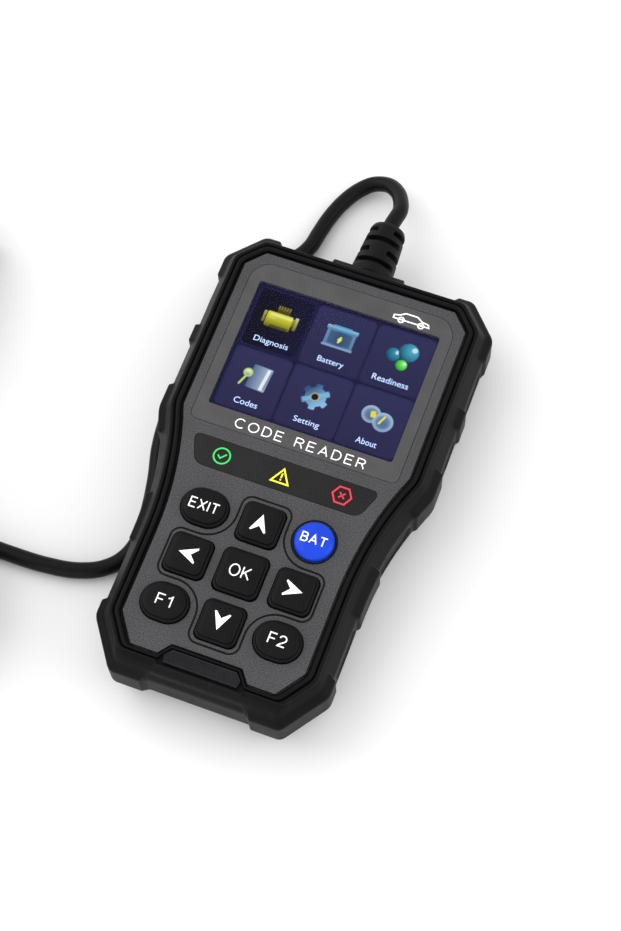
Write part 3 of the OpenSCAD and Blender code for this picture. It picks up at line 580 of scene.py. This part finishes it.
# Grip pad at the lower end: fine square studs on a plate with cut corners
gripPad = {
    "top": 26.05, "foot": 24.9, "pitch": 0.62, "stud": 0.22,
    "upper": -62.5, "upperHalf": 9.6, "middle": -64.6, "middleHalf": 11.5, "lower": -66.75, "lowerHalf": 11.0,
}


def gripPadPlate(c):
    # rows across the pad: half width follows the outline, height drops at the rim and waves by the pitch
    v = np.linspace(c["upper"], c["lower"], 48)
    u = np.linspace(-1, 1, 220)
    half = np.interp(-v, [-c["upper"], -c["middle"], -c["lower"]], [c["upperHalf"], c["middleHalf"], c["lowerHalf"]])
    x = u[None] * half[:, None]
    y = np.broadcast_to(v[:, None], x.shape)
    rim = np.minimum(np.minimum(half[:, None] - abs(x), c["upper"] - y), y - c["lower"])
    wave = np.cos(2 * np.pi * x / c["pitch"]) * np.cos(2 * np.pi * y / c["pitch"])
    relief = c["stud"] * step(wave + 0.6) * (rim > 0.45)
    top = c["top"] - c["stud"] + relief + 0.18 * (rim < 0.4) * (rim > 0.05) - 0.25 * (rim < 0.05)
    points = np.concatenate([np.stack([x, y, z], -1).reshape(-1, 3) for z in (top, top * 0 + c["foot"])])
    rows, cols = x.shape
    grid = np.array(gridFaces(rows, cols, False, False))
    number = np.arange(rows * cols).reshape(rows, cols)
    edge = np.concatenate([number[0], number[1:, -1], number[-1, -2::-1], number[-2:0:-1, 0]])
    after = np.roll(edge, -1)
    side = np.stack([edge, edge + rows * cols, after + rows * cols, after], -1)
    faces = np.concatenate([grid, grid[:, ::-1] + rows * cols, side]).tolist()
    standIn(makePiece("gripPad", points, faces, "padRubber", sharp=30), "mesh_rubber", "grip_pad")


gripPadPlate(gripPad)

# Keys: centre, half sizes, corner radius
keySet = {
    "key_up": (0, -19.25, 6.2, 6.2, 2.3), "key_down": (0, -50.75, 6.2, 6.2, 2.3),
    "key_left": (-16.1, -35, 6.2, 6.2, 2.3), "key_right": (16.1, -35, 6.2, 6.2, 2.3),
    "key_ok": (0, -35, 6.8, 6.8, 2.5), "key_exit": (-17.1, -19.7, 7.1, 5.75, 5.6),
    "key_f1": (-17.1, -50.3, 7.1, 5.75, 5.6), "key_f2": (17.1, -50.3, 7.1, 5.75, 5.6),
}
# how far in and how far above the plate: skirt, rounded shoulder, cap, rounded rim, slightly crowned top
keyProfile = [(0, -3.4), (0, 0.3), (0.04, 0.62), (0.16, 0.84), (0.36, 0.97), (0.55, 1.02), (0.66, 1.08), (0.7, 1.2),
              (0.76, 1.55), (0.88, 1.84), (1.1, 2.02), (1.42, 2.11), (2.2, 2.15), (3.4, 2.18), (4.6, 2.2), (5.4, 2.2)]
batteryKey = {
    "place": (16.25, -18.75, 5.9, 5.9, 5.85),
    "profile": [(0, -3.4), (0, 0.35), (0.05, 0.7), (0.2, 1.0), (0.5, 1.3), (1.0, 1.56), (1.8, 1.82), (2.8, 2.02),
                (3.9, 2.14), (5.0, 2.19), (5.7, 2.2)],
}


def pieceName(kind, node):
    # kind followed by the key's own word
    return kind + node.split("_")[1].capitalize()


def keyCap(node, place, profile, finish="keyRubber", slot="key_rubber"):
    # rounded outline shrinking along the profile, its corners tightening with it
    cx, cy, halfX, halfY, radius = place
    inset, rise = np.array(profile).T
    inset = np.minimum(inset, min(halfX, halfY) - 0.25)
    corner = np.maximum(radius - inset * np.where(radius > 5, 1.0, 0.45), 0.12)
    corner = np.minimum(corner, np.minimum(halfX, halfY) - inset - 0.05)
    x, y = roundedRings(halfX - inset, halfY - inset, corner, 14)
    rings = np.stack([cx + x, cy + y, np.broadcast_to(faceZ + rise[:, None], x.shape)], -1)
    standIn(loft(pieceName("key", node), rings, finish, node, 50), slot, node)


for node, place in keySet.items():
    keyCap(node, place, keyProfile)
keyCap("key_battery", batteryKey["place"], batteryKey["profile"], "keyBlue", "key_blue")
print("keys made")


inkThick = 0.05


def bandRails(line, before, after, wide, z):
    # a line moved to both sides along its mitres, low and high: four rails of a flat band
    arm = (before + after) / (1 + (before * after).sum(-1, keepdims=True)) * wide / 2
    corners = ((-1, z - inkThick), (1, z - inkThick), (1, z), (-1, z))
    return np.array([np.column_stack([line + arm * s, np.full(len(line), h)]) for s, h in corners])


def leftOf(steps):
    # unit normals on the left of each step
    u = unitRows(steps)
    return np.stack([-u[:, 1], u[:, 0]], -1)


def lineRing(name, outline, wide, z, finish):
    # a closed line of even width
    normal = leftOf(np.roll(outline, -1, 0) - outline)
    rails = bandRails(outline, np.roll(normal, 1, 0), normal, wide, z)
    makePiece(name, rails, gridFaces(4, len(outline), True, True), finish)


# painted shade over the key grooves: depth of the groove floor, lift, widening and thickness of the dark sheet
groove = {
    "node": "front_cover", "depth": 0.35, "rise": 0.365, "wider": 0.12, "south": -62, "north": 6, "thick": 0.06,
}


def groovePaintedShade(c):
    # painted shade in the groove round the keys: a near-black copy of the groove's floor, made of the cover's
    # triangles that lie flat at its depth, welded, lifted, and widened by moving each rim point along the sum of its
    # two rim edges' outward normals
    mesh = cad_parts[c["node"]].data
    mesh.calc_loop_triangles()
    points = np.empty(len(mesh.vertices) * 3)
    corners = np.empty(len(mesh.loop_triangles) * 3, np.int32)
    mesh.vertices.foreach_get("co", points)
    mesh.loop_triangles.foreach_get("vertices", corners)
    welded, index = np.unique((points.reshape(-1, 3) / mm).round(3), axis=0, return_inverse=True)
    corners = index.ravel()[corners].reshape(-1, 3)
    place = welded[corners]
    flat = (abs(place[:, :, 2] - faceZ + c["depth"]) < 0.01).all(1)
    flat &= (place[:, :, 1] > c["south"]).all(1) & (place[:, :, 1] < c["north"]).all(1)
    used, faces = np.unique(corners[flat], return_inverse=True)
    points, faces = welded[used], faces.reshape(-1, 3)
    edges, across = faces[:, [0, 1, 1, 2, 2, 0]].reshape(-1, 2), faces[:, [2, 0, 1]].ravel()
    _, which, count = np.unique(np.sort(edges, 1), axis=0, return_inverse=True, return_counts=True)
    rim = count[which.ravel()] == 1
    edges, across = edges[rim], across[rim]
    out = leftOf((points[edges[:, 1]] - points[edges[:, 0]])[:, :2])
    out *= -np.sign((out * (points[across] - points[edges[:, 0]])[:, :2]).sum(1, keepdims=True))
    push = np.zeros((len(points), 2))
    np.add.at(push, edges.ravel(), np.repeat(out, 2, axis=0))
    points[:, :2] += unitRows(push) * c["wider"]
    points[:, 2] += c["rise"]
    piece = makePiece("groovePaintedShade", points, faces.tolist(), "keyRubber", closed=False)
    wall = piece.modifiers.new("thickness", "SOLIDIFY")
    wall.thickness, wall.offset = c["thick"] * mm, -1
    print("key lines made")


groovePaintedShade(groove)


def strokes(name, lines, wide, z, finish, body="housing"):
    # each open line becomes a flat band with both ends filled
    points, faces, start = [], [], 0
    for line in lines:
        line = np.asarray(line, float)
        side = leftOf(np.diff(line, axis=0))
        rails = bandRails(line, np.concatenate([side[:1], side]), np.concatenate([side, side[-1:]]), wide, z)
        faces += (np.array(gridFaces(len(line), 4)) + start).tolist()
        last = start + (len(line) - 1) * 4
        faces += [[start + 3, start + 2, start + 1, start], [last, last + 1, last + 2, last + 3]]
        points.append(rails.transpose(1, 0, 2).reshape(-1, 3))
        start += len(line) * 4
    makePiece(name, np.concatenate(points), faces, finish, body)


def bow(cx, cy, rx, ry, start, end, count=14):
    # part of an ellipse
    a = np.radians(np.linspace(start, end, count))
    return list(zip(cx + rx * np.cos(a), cy + ry * np.sin(a)))


# Plain capitals and digits as lines in a box one high: width, lines
glyphs = {
    "A": (0.78, [[(0, 0), (0.39, 1), (0.78, 0)], [(0.14, 0.34), (0.64, 0.34)]]),
    "B": (0.64, [[(0.36, 0.53), (0, 0.53), (0, 1), (0.34, 1)] + bow(0.36, 0.765, 0.23, 0.235, 90, -90, 9),
                 [(0, 0.53), (0, 0), (0.36, 0)] + bow(0.38, 0.265, 0.26, 0.265, -90, 90, 9)]),
    "C": (0.78, [bow(0.44, 0.5, 0.44, 0.5, 48, 312, 22)]),
    "D": (0.72, [[(0.31, 0), (0, 0), (0, 1), (0.27, 1)] + bow(0.3, 0.5, 0.42, 0.5, 90, -90, 13)]),
    "E": (0.64, [[(0.62, 1), (0, 1), (0, 0), (0.64, 0)], [(0, 0.52), (0.56, 0.52)]]),
    "F": (0.58, [[(0.58, 1), (0, 1), (0, 0)], [(0, 0.5), (0.5, 0.5)]]),
    "I": (0.02, [[(0.01, 0), (0.01, 1)]]),
    "K": (0.7, [[(0, 0), (0, 1)], [(0.66, 1), (0, 0.34)], [(0.22, 0.57), (0.7, 0)]]),
    "O": (0.88, [bow(0.44, 0.5, 0.44, 0.5, 0, 362, 36)]),
    "R": (0.68, [[(0, 0), (0, 1), (0.38, 1)] + bow(0.4, 0.755, 0.25, 0.245, 90, -90, 9) + [(0, 0.51)],
                 [(0.4, 0.5), (0.68, 0)]]),
    "T": (0.72, [[(0, 1), (0.72, 1)], [(0.36, 1), (0.36, 0)]]),
    "X": (0.72, [[(0, 1), (0.72, 0)], [(0.72, 1), (0, 0)]]),
    "1": (0.34, [[(0.02, 0.78), (0.2, 0.86), (0.33, 1), (0.33, 0)]]),
    "2": (0.6, [bow(0.3, 0.7, 0.29, 0.3, 168, -20, 12) + [(0.46, 0.46), (0.1, 0.16), (0, 0), (0.6, 0)]]),
    " ": (0.34, []),
}


def lineWords(name, words, centre, width, height, wide, z, finish, body="housing", gap=0.3):
    # letters set side by side with an even gap, then stretched to the width and height given
    lines, at = [], 0
    for letter in words:
        size, shape = glyphs[letter]
        lines += [np.array(line) + (at, 0) for line in shape]
        at += size + gap
    scale = np.array([(width - wide) / (at - gap), height - wide])
    shift = np.array(centre) - np.array([(at - gap) / 2, 0.5]) * scale
    strokes(name, [line * scale + shift for line in lines], wide, z, finish, body)


def lettering(name, words, centre, width, height, z, finish):
    # built-in font turned into a mesh, then stretched to the width and height given and put in place
    curve = bpy.data.curves.new(name, "FONT")
    curve.body, curve.extrude, curve.resolution_u = words, 0.004, 6
    temp = link(name + "Curve", curve)
    bpy.context.view_layer.update()
    mesh = bpy.data.meshes.new_from_object(temp.evaluated_get(bpy.context.evaluated_depsgraph_get()))
    bpy.data.objects.remove(temp)
    p = np.empty(len(mesh.vertices) * 3)
    mesh.vertices.foreach_get("co", p)
    p = p.reshape(-1, 3)
    low, high = p.min(0), p.max(0)
    p[:, :2] = (p[:, :2] - (low + high)[:2] / 2) / (high - low)[:2] * [width, height] + centre
    p[:, 2] = z + (p[:, 2] - high[2]) / (high - low)[2] * inkThick
    mesh.vertices.foreach_set("co", (p * mm).ravel())
    mesh.name = name
    mesh.materials.clear()
    mesh.materials.append(finishes[finish].material)
    mesh.update()
    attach(link(name, mesh), "housing")


# Key legends: words, width, height, shift to the side
keyTop = faceZ + 2.22
legendLine = 0.37
legends = {"key_ok": ("OK", 6.4, 3.8, -0.1), "key_exit": ("EXIT", 9.0, 3.3, 0), "key_f1": ("F1", 4.7, 3.5, 0),
           "key_f2": ("F2", 5.4, 3.5, 0), "key_battery": ("BAT", 7.8, 3.0, 0)}
arrowShape = np.array([(0, 2.7), (2.45, -2.55), (2.0, -2.75), (0, -0.95), (-2.0, -2.75), (-2.45, -2.55)])
arrowTurns = {"key_up": 0, "key_left": 90, "key_down": 180, "key_right": 270}


def arrow(node, turn):
    # the outline turned, moved to the key's middle and given a little thickness
    a = math.radians(turn)
    flat = arrowShape @ np.array([[math.cos(a), math.sin(a)], [-math.sin(a), math.cos(a)]]) + keySet[node][:2]
    rings = np.array([np.column_stack([flat, np.full(len(flat), h)]) for h in (keyTop - inkThick, keyTop)])
    loft(pieceName("arrow", node), rings, "whitePrintPaintedGlow", node)


for node, (words, width, height, shift) in legends.items():
    x, y = (keySet | {"key_battery": batteryKey["place"]})[node][:2]
    lineWords(pieceName("legend", node), words, (x + shift, y), width, height, legendLine, keyTop, "whitePrintPaintedGlow", node)
for node, turn in arrowTurns.items():
    arrow(node, turn)
print("legends made")

# Bezel printing and status lights; y is measured from the middle of the housing
printZ = faceZ + 0.03
bezelPrint = {"words": "CODE READER", "centre": (1.5, 8.75), "width": 40.6, "height": 3.2, "wide": 0.34, "gap": 0.42}
badge = {
    "centre": (18.9, 57.85), "line": 0.42, "wheel": 0.85, "wheelAt": (3.1, -1.0), "rise": 0.02,
    "body": [(-5.6, -0.9), (-5.6, 0.1), (-3.9, 0.5), (-2.3, 1.5), (1.3, 1.5), (3.1, 0.4), (5.2, 0.05), (5.6, -0.9)],
}
lineWords("bezelWords", z=printZ, finish="whitePrintPaintedGlow", **bezelPrint)


def roundPoints(count, radius):
    # points of a circle, or of a regular figure with few sides
    a = np.linspace(0, 2 * np.pi, count, endpoint=False)
    return np.column_stack([np.cos(a), np.sin(a)]) * radius


def carBadge(c):
    # plain outline of a car seen from the side, with two wheels
    cx, cy = c["centre"]
    lineRing("badgeCar", np.array(c["body"]) + c["centre"], c["line"], printZ, "whitePrintPaintedGlow")
    x, y = c["wheelAt"]
    for side, name in ((-1, "badgeWheelLeft"), (1, "badgeWheelRight")):
        wheel = roundPoints(28, c["wheel"]) + (cx + x * side, cy + y)
        lineRing(name, wheel, c["line"], printZ + c["rise"], "whitePrintPaintedGlow")


carBadge(badge)
lights = {
    "line": 0.48, "ringAt": (-18.5, -2.75), "triangleAt": (0.2, -2.85), "hexagonAt": (18.7, -2.55),
    "triangle": [(0, 2.35), (2.65, -2.1), (-2.65, -2.1)],
    "tick": ("lightTick", 0.45, [[(-1.25, 0.05), (-0.3, -0.85), (1.3, 0.85)]]),
    "mark": ("lightMark", 0.44, [[(0.05, 0.95), (0, -0.55)], [(0, -0.9), (0, -1.35)]]),
    "cross": ("lightCross", 0.42, [[(-0.85, -0.85), (0.85, 0.85)], [(-0.85, 0.85), (0.85, -0.85)]]),
}


def statusLight(name, outline, mark, place, finish):
    # an outline with a mark inside it, both moved to the sign's place
    lineRing(name, outline + place, lights["line"], printZ, finish)
    markName, wide, lines = mark
    strokes(markName, [np.array(line) + place for line in lines], wide, printZ, finish)


def statusLights(c):
    # a ring with a tick, a triangle with a mark, and a hexagon with a cross
    statusLight("lightRing", roundPoints(48, 2.45), c["tick"], c["ringAt"], "lampGreen")
    statusLight("lightTriangle", np.array(c["triangle"]), c["mark"], c["triangleAt"], "lampYellow")
    statusLight("lightHexagon", roundPoints(6, 2.9), c["cross"], c["hexagonAt"], "lampRed")


statusLights(lights)
print("printing and lights made")

# Display picture: six tiles with drawn symbols, painted on the points of a fine grid
display = {"middle": (0, 33.65), "half": (28.75, 21.55), "grid": (312, 234), "z": 24.33, "edge": 0.2,
           "tiles": [(-18.65, 10.5, 8.75, 9.8), (0.4, 10.5, 9.1, 9.8), (19.4, 10.5, 8.9, 9.8),
                     (-18.65, -10.4, 8.75, 9.8), (0.4, -10.4, 9.1, 9.8), (19.4, -10.4, 8.9, 9.8)],
           "words": [("Diagnosis", -18.5, 3.25, 10.9, 2.4), ("Battery", 0.5, 3.25, 8.2, 2.4),
                     ("Readiness", 19.4, 3.45, 11.3, 1.95), ("Codes", -18.5, -17.5, 7.4, 1.95),
                     ("Setting", 0.6, -17.6, 8.0, 2.4), ("About", 19.4, -17.5, 6.4, 1.95)]}


def rgb(code):
    # hex code as linear red, green and blue
    return np.array(tint(code)[:3])


class Picture:
    # a grid of points with a colour each; lay() covers it with a colour where a distance is below zero
    def __init__(self, c):
        x = np.linspace(-c["half"][0], c["half"][0], c["grid"][0])
        y = np.linspace(-c["half"][1], c["half"][1], c["grid"][1])
        self.x, self.y = np.meshgrid(x, y)
        self.colour = np.zeros((*self.x.shape, 3)) + rgb("#1b1940")
        self.edge = c["edge"]

    def lay(self, distance, colour, share=1.0):
        # colour mixed in by share where distance is below zero, fading over one edge width
        cover = (np.clip(0.5 - distance / self.edge, 0, 1) * share)[..., None]
        self.colour = self.colour * (1 - cover) + (rgb(colour) if isinstance(colour, str) else colour) * cover

    def box(self, cx, cy, halfX, halfY, radius=0.0, turn=0.0):
        # distance to a rounded box turned by degrees: outside part plus inside part, less the radius
        a = math.radians(turn)
        x, y = self.x - cx, self.y - cy
        x, y = x * math.cos(a) + y * math.sin(a), y * math.cos(a) - x * math.sin(a)
        qx, qy = abs(x) - halfX + radius, abs(y) - halfY + radius
        return np.hypot(np.maximum(qx, 0), np.maximum(qy, 0)) + np.minimum(np.maximum(qx, qy), 0) - radius

    def disc(self, cx, cy, radius):
        # distance to the middle less the radius
        return np.hypot(self.x - cx, self.y - cy) - radius

    def stroke(self, x0, y0, x1, y1, wide):
        # distance to the nearest point of the line, less half its width
        dx, dy = x1 - x0, y1 - y0
        t = np.clip(((self.x - x0) * dx + (self.y - y0) * dy) / (dx * dx + dy * dy), 0, 1)
        return np.hypot(self.x - x0 - t * dx, self.y - y0 - t * dy) - wide / 2

    def blend(self, low, high, t):
        # low colour at t = 0, high colour at t = 1
        t = np.clip(t, 0, 1)[..., None]
        return rgb(low) * (1 - t) + rgb(high) * t


def drawTiles(p, tiles):
    # rounded tiles with a faint rim, the first one dark as chosen
    for k, (cx, cy, halfX, halfY) in enumerate(tiles):
        plain = p.blend("#2b2a50", "#31305a", (p.y - cy + halfY) / (2 * halfY))
        chosen = p.blend("#0d0c20", "#131230", (p.x - cx) / 10 + 0.5)
        p.lay(p.box(cx, cy, halfX + 0.25, halfY + 0.25, 1.5), "#3a3963" if k else "#2f2e5c", 0.45)
        p.lay(p.box(cx, cy, halfX, halfY, 1.4), plain if k else chosen)


def drawEngine(p):
    # block with a chamfered lower corner, flanges at both ends, filler cap above
    block = np.maximum(p.box(-18.95, 10.9, 4.0, 2.6, 0.5), -(p.x + 22.6 + (p.y - 8.3) * 0.9) * 0.7)
    p.lay(p.box(-18.4, 13.9, 2.0, 0.9, 0.3), "#4e4a16")
    p.lay(p.box(-18.5, 15.4, 2.05, 0.62, 0.15), p.blend("#3c3a12", "#8a8638", np.cos(p.x * 7.5) * 0.5 + 0.5))
    p.lay(p.box(-23.65, 11.3, 0.4, 1.95, 0.15), p.blend("#6a681c", "#b8b65c", (p.y - 9.4) / 4))
    p.lay(p.box(-22.9, 11.4, 0.6, 0.35), "#54521a")
    p.lay(p.box(-13.75, 11.5, 0.5, 2.2, 0.2), p.blend("#6e6c20", "#cfcd8a", (p.y - 9.4) / 4))
    p.lay(p.box(-14.6, 11.6, 0.7, 1.3, 0.2), p.blend("#5c5a1a", "#a8a642", (p.y - 10.2) / 3))
    p.lay(block, p.blend("#55530f", "#d9d83c", (p.y - 8.2) / 4.2))
    p.lay(p.stroke(-21.6, 12.6, -15.4, 12.6, 0.9), "#f1f1a4", 0.75)
    p.lay(p.stroke(-22.0, 11.5, -20.2, 11.5, 0.5), "#e8e75e", 0.6)
    p.lay(p.box(-18.3, 8.75, 2.9, 0.5, 0.3), "#3d3b0c", 0.7)


def drawBattery(p):
    # case with a darker window, a foot, a lid with a post, and a two-part flash
    p.lay(p.box(0.45, 11.3, 4.5, 2.9, 0.1), p.blend("#39557a", "#6d93bd", abs(p.x - 0.5) / 5.5 + (p.y - 8.6) * 0.03))
    p.lay(p.box(0.45, 11.5, 3.5, 2.1, 0.2), "#2f4c70", 0.7)
    p.lay(p.box(0.45, 8.55, 4.8, 0.35, 0.1), "#86a8cc")
    p.lay(p.box(0.45, 14.6, 4.9, 0.72, 0.2), p.blend("#3f7fb0", "#8fd0ee", (p.y - 13.9) / 1.4))
    p.lay(p.box(0.3, 15.4, 2.9, 0.3, 0.2), "#5ea6d2")
    p.lay(p.disc(-2.8, 15.1, 0.35), "#d7788c")
    p.lay(p.stroke(0.75, 12.0, 0.2, 11.1, 0.6), "#eef05a")
    p.lay(p.stroke(0.9, 11.3, 0.35, 10.3, 0.6), "#eef05a")


def drawBalls(p):
    # three balls, lighter towards the upper right, each with a small shine
    balls = ((17.2, 12.1, 2.25, "#0c3d57", "#3a9cbd"), (21.5, 14.1, 3.05, "#0f4a66", "#4db4cf"),
             (20.65, 9.5, 1.75, "#129a1c", "#7dff6a"))
    for cx, cy, r, dark, light in balls:
        t = 1 - np.hypot(p.x - cx - r * 0.4, p.y - cy - r * 0.35) / (1.5 * r)
        p.lay(p.disc(cx, cy, r), p.blend(dark, light, t * 1.1))
        p.lay(p.disc(cx + r * 0.5, cy + r * 0.42, r * 0.28), "#e8fbff", 0.7)


def drawBook(p):
    # leaning book with a pale edge, and a lens with a handle
    p.lay(p.box(-17.55, -8.8, 3.0, 3.9, 0.3, -3), p.blend("#41608c", "#a9bcd6", (p.x + 21) / 6))
    p.lay(p.box(-15.75, -8.9, 0.55, 3.6, 0.3, -6), "#eef3fb")
    p.lay(p.box(-14.9, -8.7, 0.3, 3.3, 0.2, -6), "#7f97ba")
    p.lay(p.disc(-21.3, -8.0, 1.45), "#b9dc5e")
    p.lay(p.disc(-21.3, -8.0, 0.98), p.blend("#8a9a8c", "#f0f6e6", (p.y + 9) / 1.8))
    p.lay(p.stroke(-21.7, -9.6, -22.75, -12.2, 0.62), "#c4e46a")


def drawGear(p):
    # six teeth: the rim radius follows a squared-off wave of the angle
    x, y = p.x - 0.3, p.y + 8.8
    a = np.arctan2(y, x)
    rim = 3.25 + 1.05 * step(np.cos(6 * a + 3.1) * 1.6 + 0.5)
    p.lay((np.hypot(x, y) - rim) * 0.8, p.blend("#31578a", "#8fc4ea", 0.5 - (y - x) / 9))
    p.lay(p.stroke(-2.6, -10.4, 3.3, -7.0, 1.3), "#7cc4ee", 0.75)
    p.lay(p.disc(0.15, -8.9, 1.35), "#c9b94a")
    p.lay(p.disc(0.15, -8.9, 1.08), "#15142c")


def drawDiscs(p):
    # two round dials with a thin inner ring, a yellow knob and a yellow hand
    for cx, cy, r in ((17.7, -8.5, 2.85), (21.8, -9.9, 3.1)):
        t = np.hypot(p.x - cx, p.y - cy) / r
        p.lay(p.disc(cx, cy, r), p.blend("#56759e", "#a8c2e0", t**3 + (p.y - cy) * 0.06))
        p.lay(abs(p.disc(cx, cy, r * 0.78)) - 0.12, "#c6d8ee", 0.35)
    p.lay(p.box(18.3, -8.35, 0.75, 1.0, 0.3, 12), "#f2e51e")
    p.lay(p.stroke(21.9, -8.1, 20.8, -10.6, 0.6), "#ece62c")


def displayPicture(c):
    # the painted grid becomes a flat mesh with its colours as an attribute; labels lie just above it
    p = Picture(c)
    drawTiles(p, c["tiles"])
    for draw in (drawEngine, drawBattery, drawBalls, drawBook, drawGear, drawDiscs):
        draw(p)
    # painted shade along the picture's edge: up to 35% darker within about half a millimetre of it
    p.colour *= 1 - 0.35 * step(p.box(0, 0, *c["half"], 1.0) + 0.55)[..., None]
    cx, cy = c["middle"]
    points = np.stack([p.x + cx, p.y + cy, np.full(p.x.shape, c["z"])], -1)
    piece = makePiece("displayPicture", points, gridFaces(*p.x.shape, False, False), "displayLight", closed=False)
    attribute = piece.data.color_attributes.new("picture", "FLOAT_COLOR", "POINT")
    rgba = np.concatenate([p.colour, np.ones((*p.x.shape, 1))], -1).astype(np.float32)
    attribute.data.foreach_set("color", rgba.ravel())
    for words, x, y, width, height in c["words"]:
        lettering("label" + words, words, (cx + x, cy + y), width, height, c["z"] + 0.03, "labelInk")


def displayFinish():
    # lit picture from the point colours, with the faint grid of the display's dots
    f = Finish("displayLight", Roughness=0.35, Specular_IOR_Level=0.05, Emission_Strength=1.0)
    picture = f.node("ShaderNodeAttribute", {"attribute_name": "picture"}, {})
    grid = f.spread(f.maths("SINE", f.axis(0) * (2 * math.pi / 0.00024)), -1.0, 1.0, 0.93, 1.0)
    f.feed(Base_Color=tint("#020203"), Emission_Color=f.mix(grid, (0, 0, 0, 1), picture))
    return f


finishes["displayLight"] = displayFinish()
displayPicture(display)
print("display picture painted")

# Plug shells: stations along the plug, half width and half height at each
plug = {
    "x": -141, "z": 12, "from": -10, "to": 34, "edge": 3.4, "seam": 0.14, "ribs": (7, 24, 6), "ribDeep": 0.55,
    "stations": [(-10, 15.4, 10.2), (-9.6, 16.0, 10.8), (-8, 16.9, 11.4), (1.4, 22.3, 11.8), (2.6, 22.8, 11.9),
                 (4.5, 23, 12), (30.5, 23, 12), (32.8, 22.8, 11.9), (33.6, 22.4, 11.5), (34, 21.6, 10.8)],
}


def plugShell(name, node, way, c):
    # half of a rounded rectangle swept along y; ribs are shallow waves on the sides
    ys, ws, hs = np.array(c["stations"]).T
    y = np.unique(np.concatenate([np.linspace(c["from"], c["to"], 120), ys]))
    halfX, halfZ = np.interp(y, ys, ws), np.interp(y, ys, hs)
    x, z = roundedRings(halfX, halfZ, np.full(len(y), c["edge"]), 10)
    keep = slice(0, x.shape[1] // 2)
    x, z = x[:, keep], z[:, keep]
    x = np.concatenate([halfX[:, None], x, -halfX[:, None]], 1)
    z = np.pad(z, ((0, 0), (1, 1)), constant_values=c["seam"] / 2)
    low, high, count = c["ribs"]
    wave = step((np.cos((y - low) / (high - low) * 2 * np.pi * count) + 0.2) * 1.2) * (y > low) * (y < high)
    grip = wave[:, None] * step((abs(x) - halfX[:, None] + 1.2) / 1.0) * c["ribDeep"]
    x = x - np.sign(x) * grip
    rings = np.stack([c["x"] + x, np.broadcast_to(y[:, None], x.shape), c["z"] + way * z], -1)
    return standIn(loft(name, rings, "plugBlack", sharp=35), "plug_black", node)


plugUpper = plugShell("plugShellUpper", "plug_upper_shell", 1, plug)
plugLower = plugShell("plugShellLower", "plug_lower_shell", -1, plug)
plugPieces = [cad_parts[n] for n in ("plug_nose", "plug_pins", "plug_board", "plug_screws")]
plugPieces += [plugUpper, plugLower, plugReliefPiece, coilTiePiece, leadRelief]
(leadPath * mm).tolist()
print("plug made")

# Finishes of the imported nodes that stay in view
nodeFinishes = {
    "shellBlack": ["rear_cover"], "faceGrain": ["front_cover"], "lensGrey": ["lens_bezel"],
    "windowClear": ["display_window"], "stripDark": ["indicator_window"], "guideClear": ["light_guides"],
    "lampBody": ["indicator_leds"], "matRubber": ["keypad_mat"], "noseBlack": ["plug_nose"],
    "brushedSilver": ["rear_plate"], "goldPin": ["plug_pins"], "boardGreen": ["main_board", "plug_board"],
    "chipBlack": ["display_panel", "processor", "board_chips", "buzzer"],
    "socketCream": ["ribbon_socket", "cable_header", "header_plug"], "ribbonFilm": ["display_ribbon", "inner_wires"],
    "platedSteel": ["display_frame", "switch_domes", "board_capacitors", "crystal_can", "cable_clamp", "board_screws",
                    "rear_screws", "plug_screws"],
}
for finish, nodes in nodeFinishes.items():
    for node in nodes:
        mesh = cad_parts[node].data
        mesh.materials.clear()
        mesh.materials.append(finishes[finish].material)
print("node finishes given")

# Stage: pale floor, soft lights, near-white surroundings
stageSet = {"half": 3.0, "drop": 0.0002, "floor": "#f4f4f4", "pale": "#f8f8f8", "world": 0.95, "aimAt": (0, 0, 0.01)}
lamps = {
    "keyLamp": {"place": (-0.95, 0.1, 0.85), "size": (1.3, 1.3), "power": 7},
    "fillLamp": {"place": (0.85, 0.1, 0.6), "size": (0.7, 0.7), "power": 2},
    "lowLamp": {"place": (-0.3, -0.95, 0.35), "size": (1.2, 0.4), "power": 2},
}


def addStage(s, lampSet):
    # one large square under everything, an even white surrounding and the lamps
    mesh = bpy.data.meshes.new("floor")
    h = s["half"]
    mesh.from_pydata([(x, y, -s["drop"]) for x, y in ((-h, -h), (h, -h), (h, h), (-h, h))], [], [(0, 1, 2, 3)])
    f = Finish("floorPale", Roughness=0.9)
    f.feed(Base_Color=f.mix(f.noise(60), tint(s["floor"]), tint(s["pale"])))
    mesh.materials.append(f.material)
    link("floor", mesh)
    scene.world = bpy.data.worlds.new("studio")
    scene.world.use_nodes = True
    sky = scene.world.node_tree.nodes["Background"].inputs
    sky["Color"].default_value, sky["Strength"].default_value = (1, 1, 1, 1), s["world"]
    for name, lamp in lampSet.items():
        data = bpy.data.lights.new(name, "AREA")
        data.shape, data.size, data.size_y = "RECTANGLE", *lamp["size"]
        data.energy = lamp["power"]
        aim(link(name, data), lamp["place"], s["aimAt"])


addStage(stageSet, lamps)
scene.view_settings.view_transform = "Standard"
scene.view_settings.look = "None"
print("stage set")
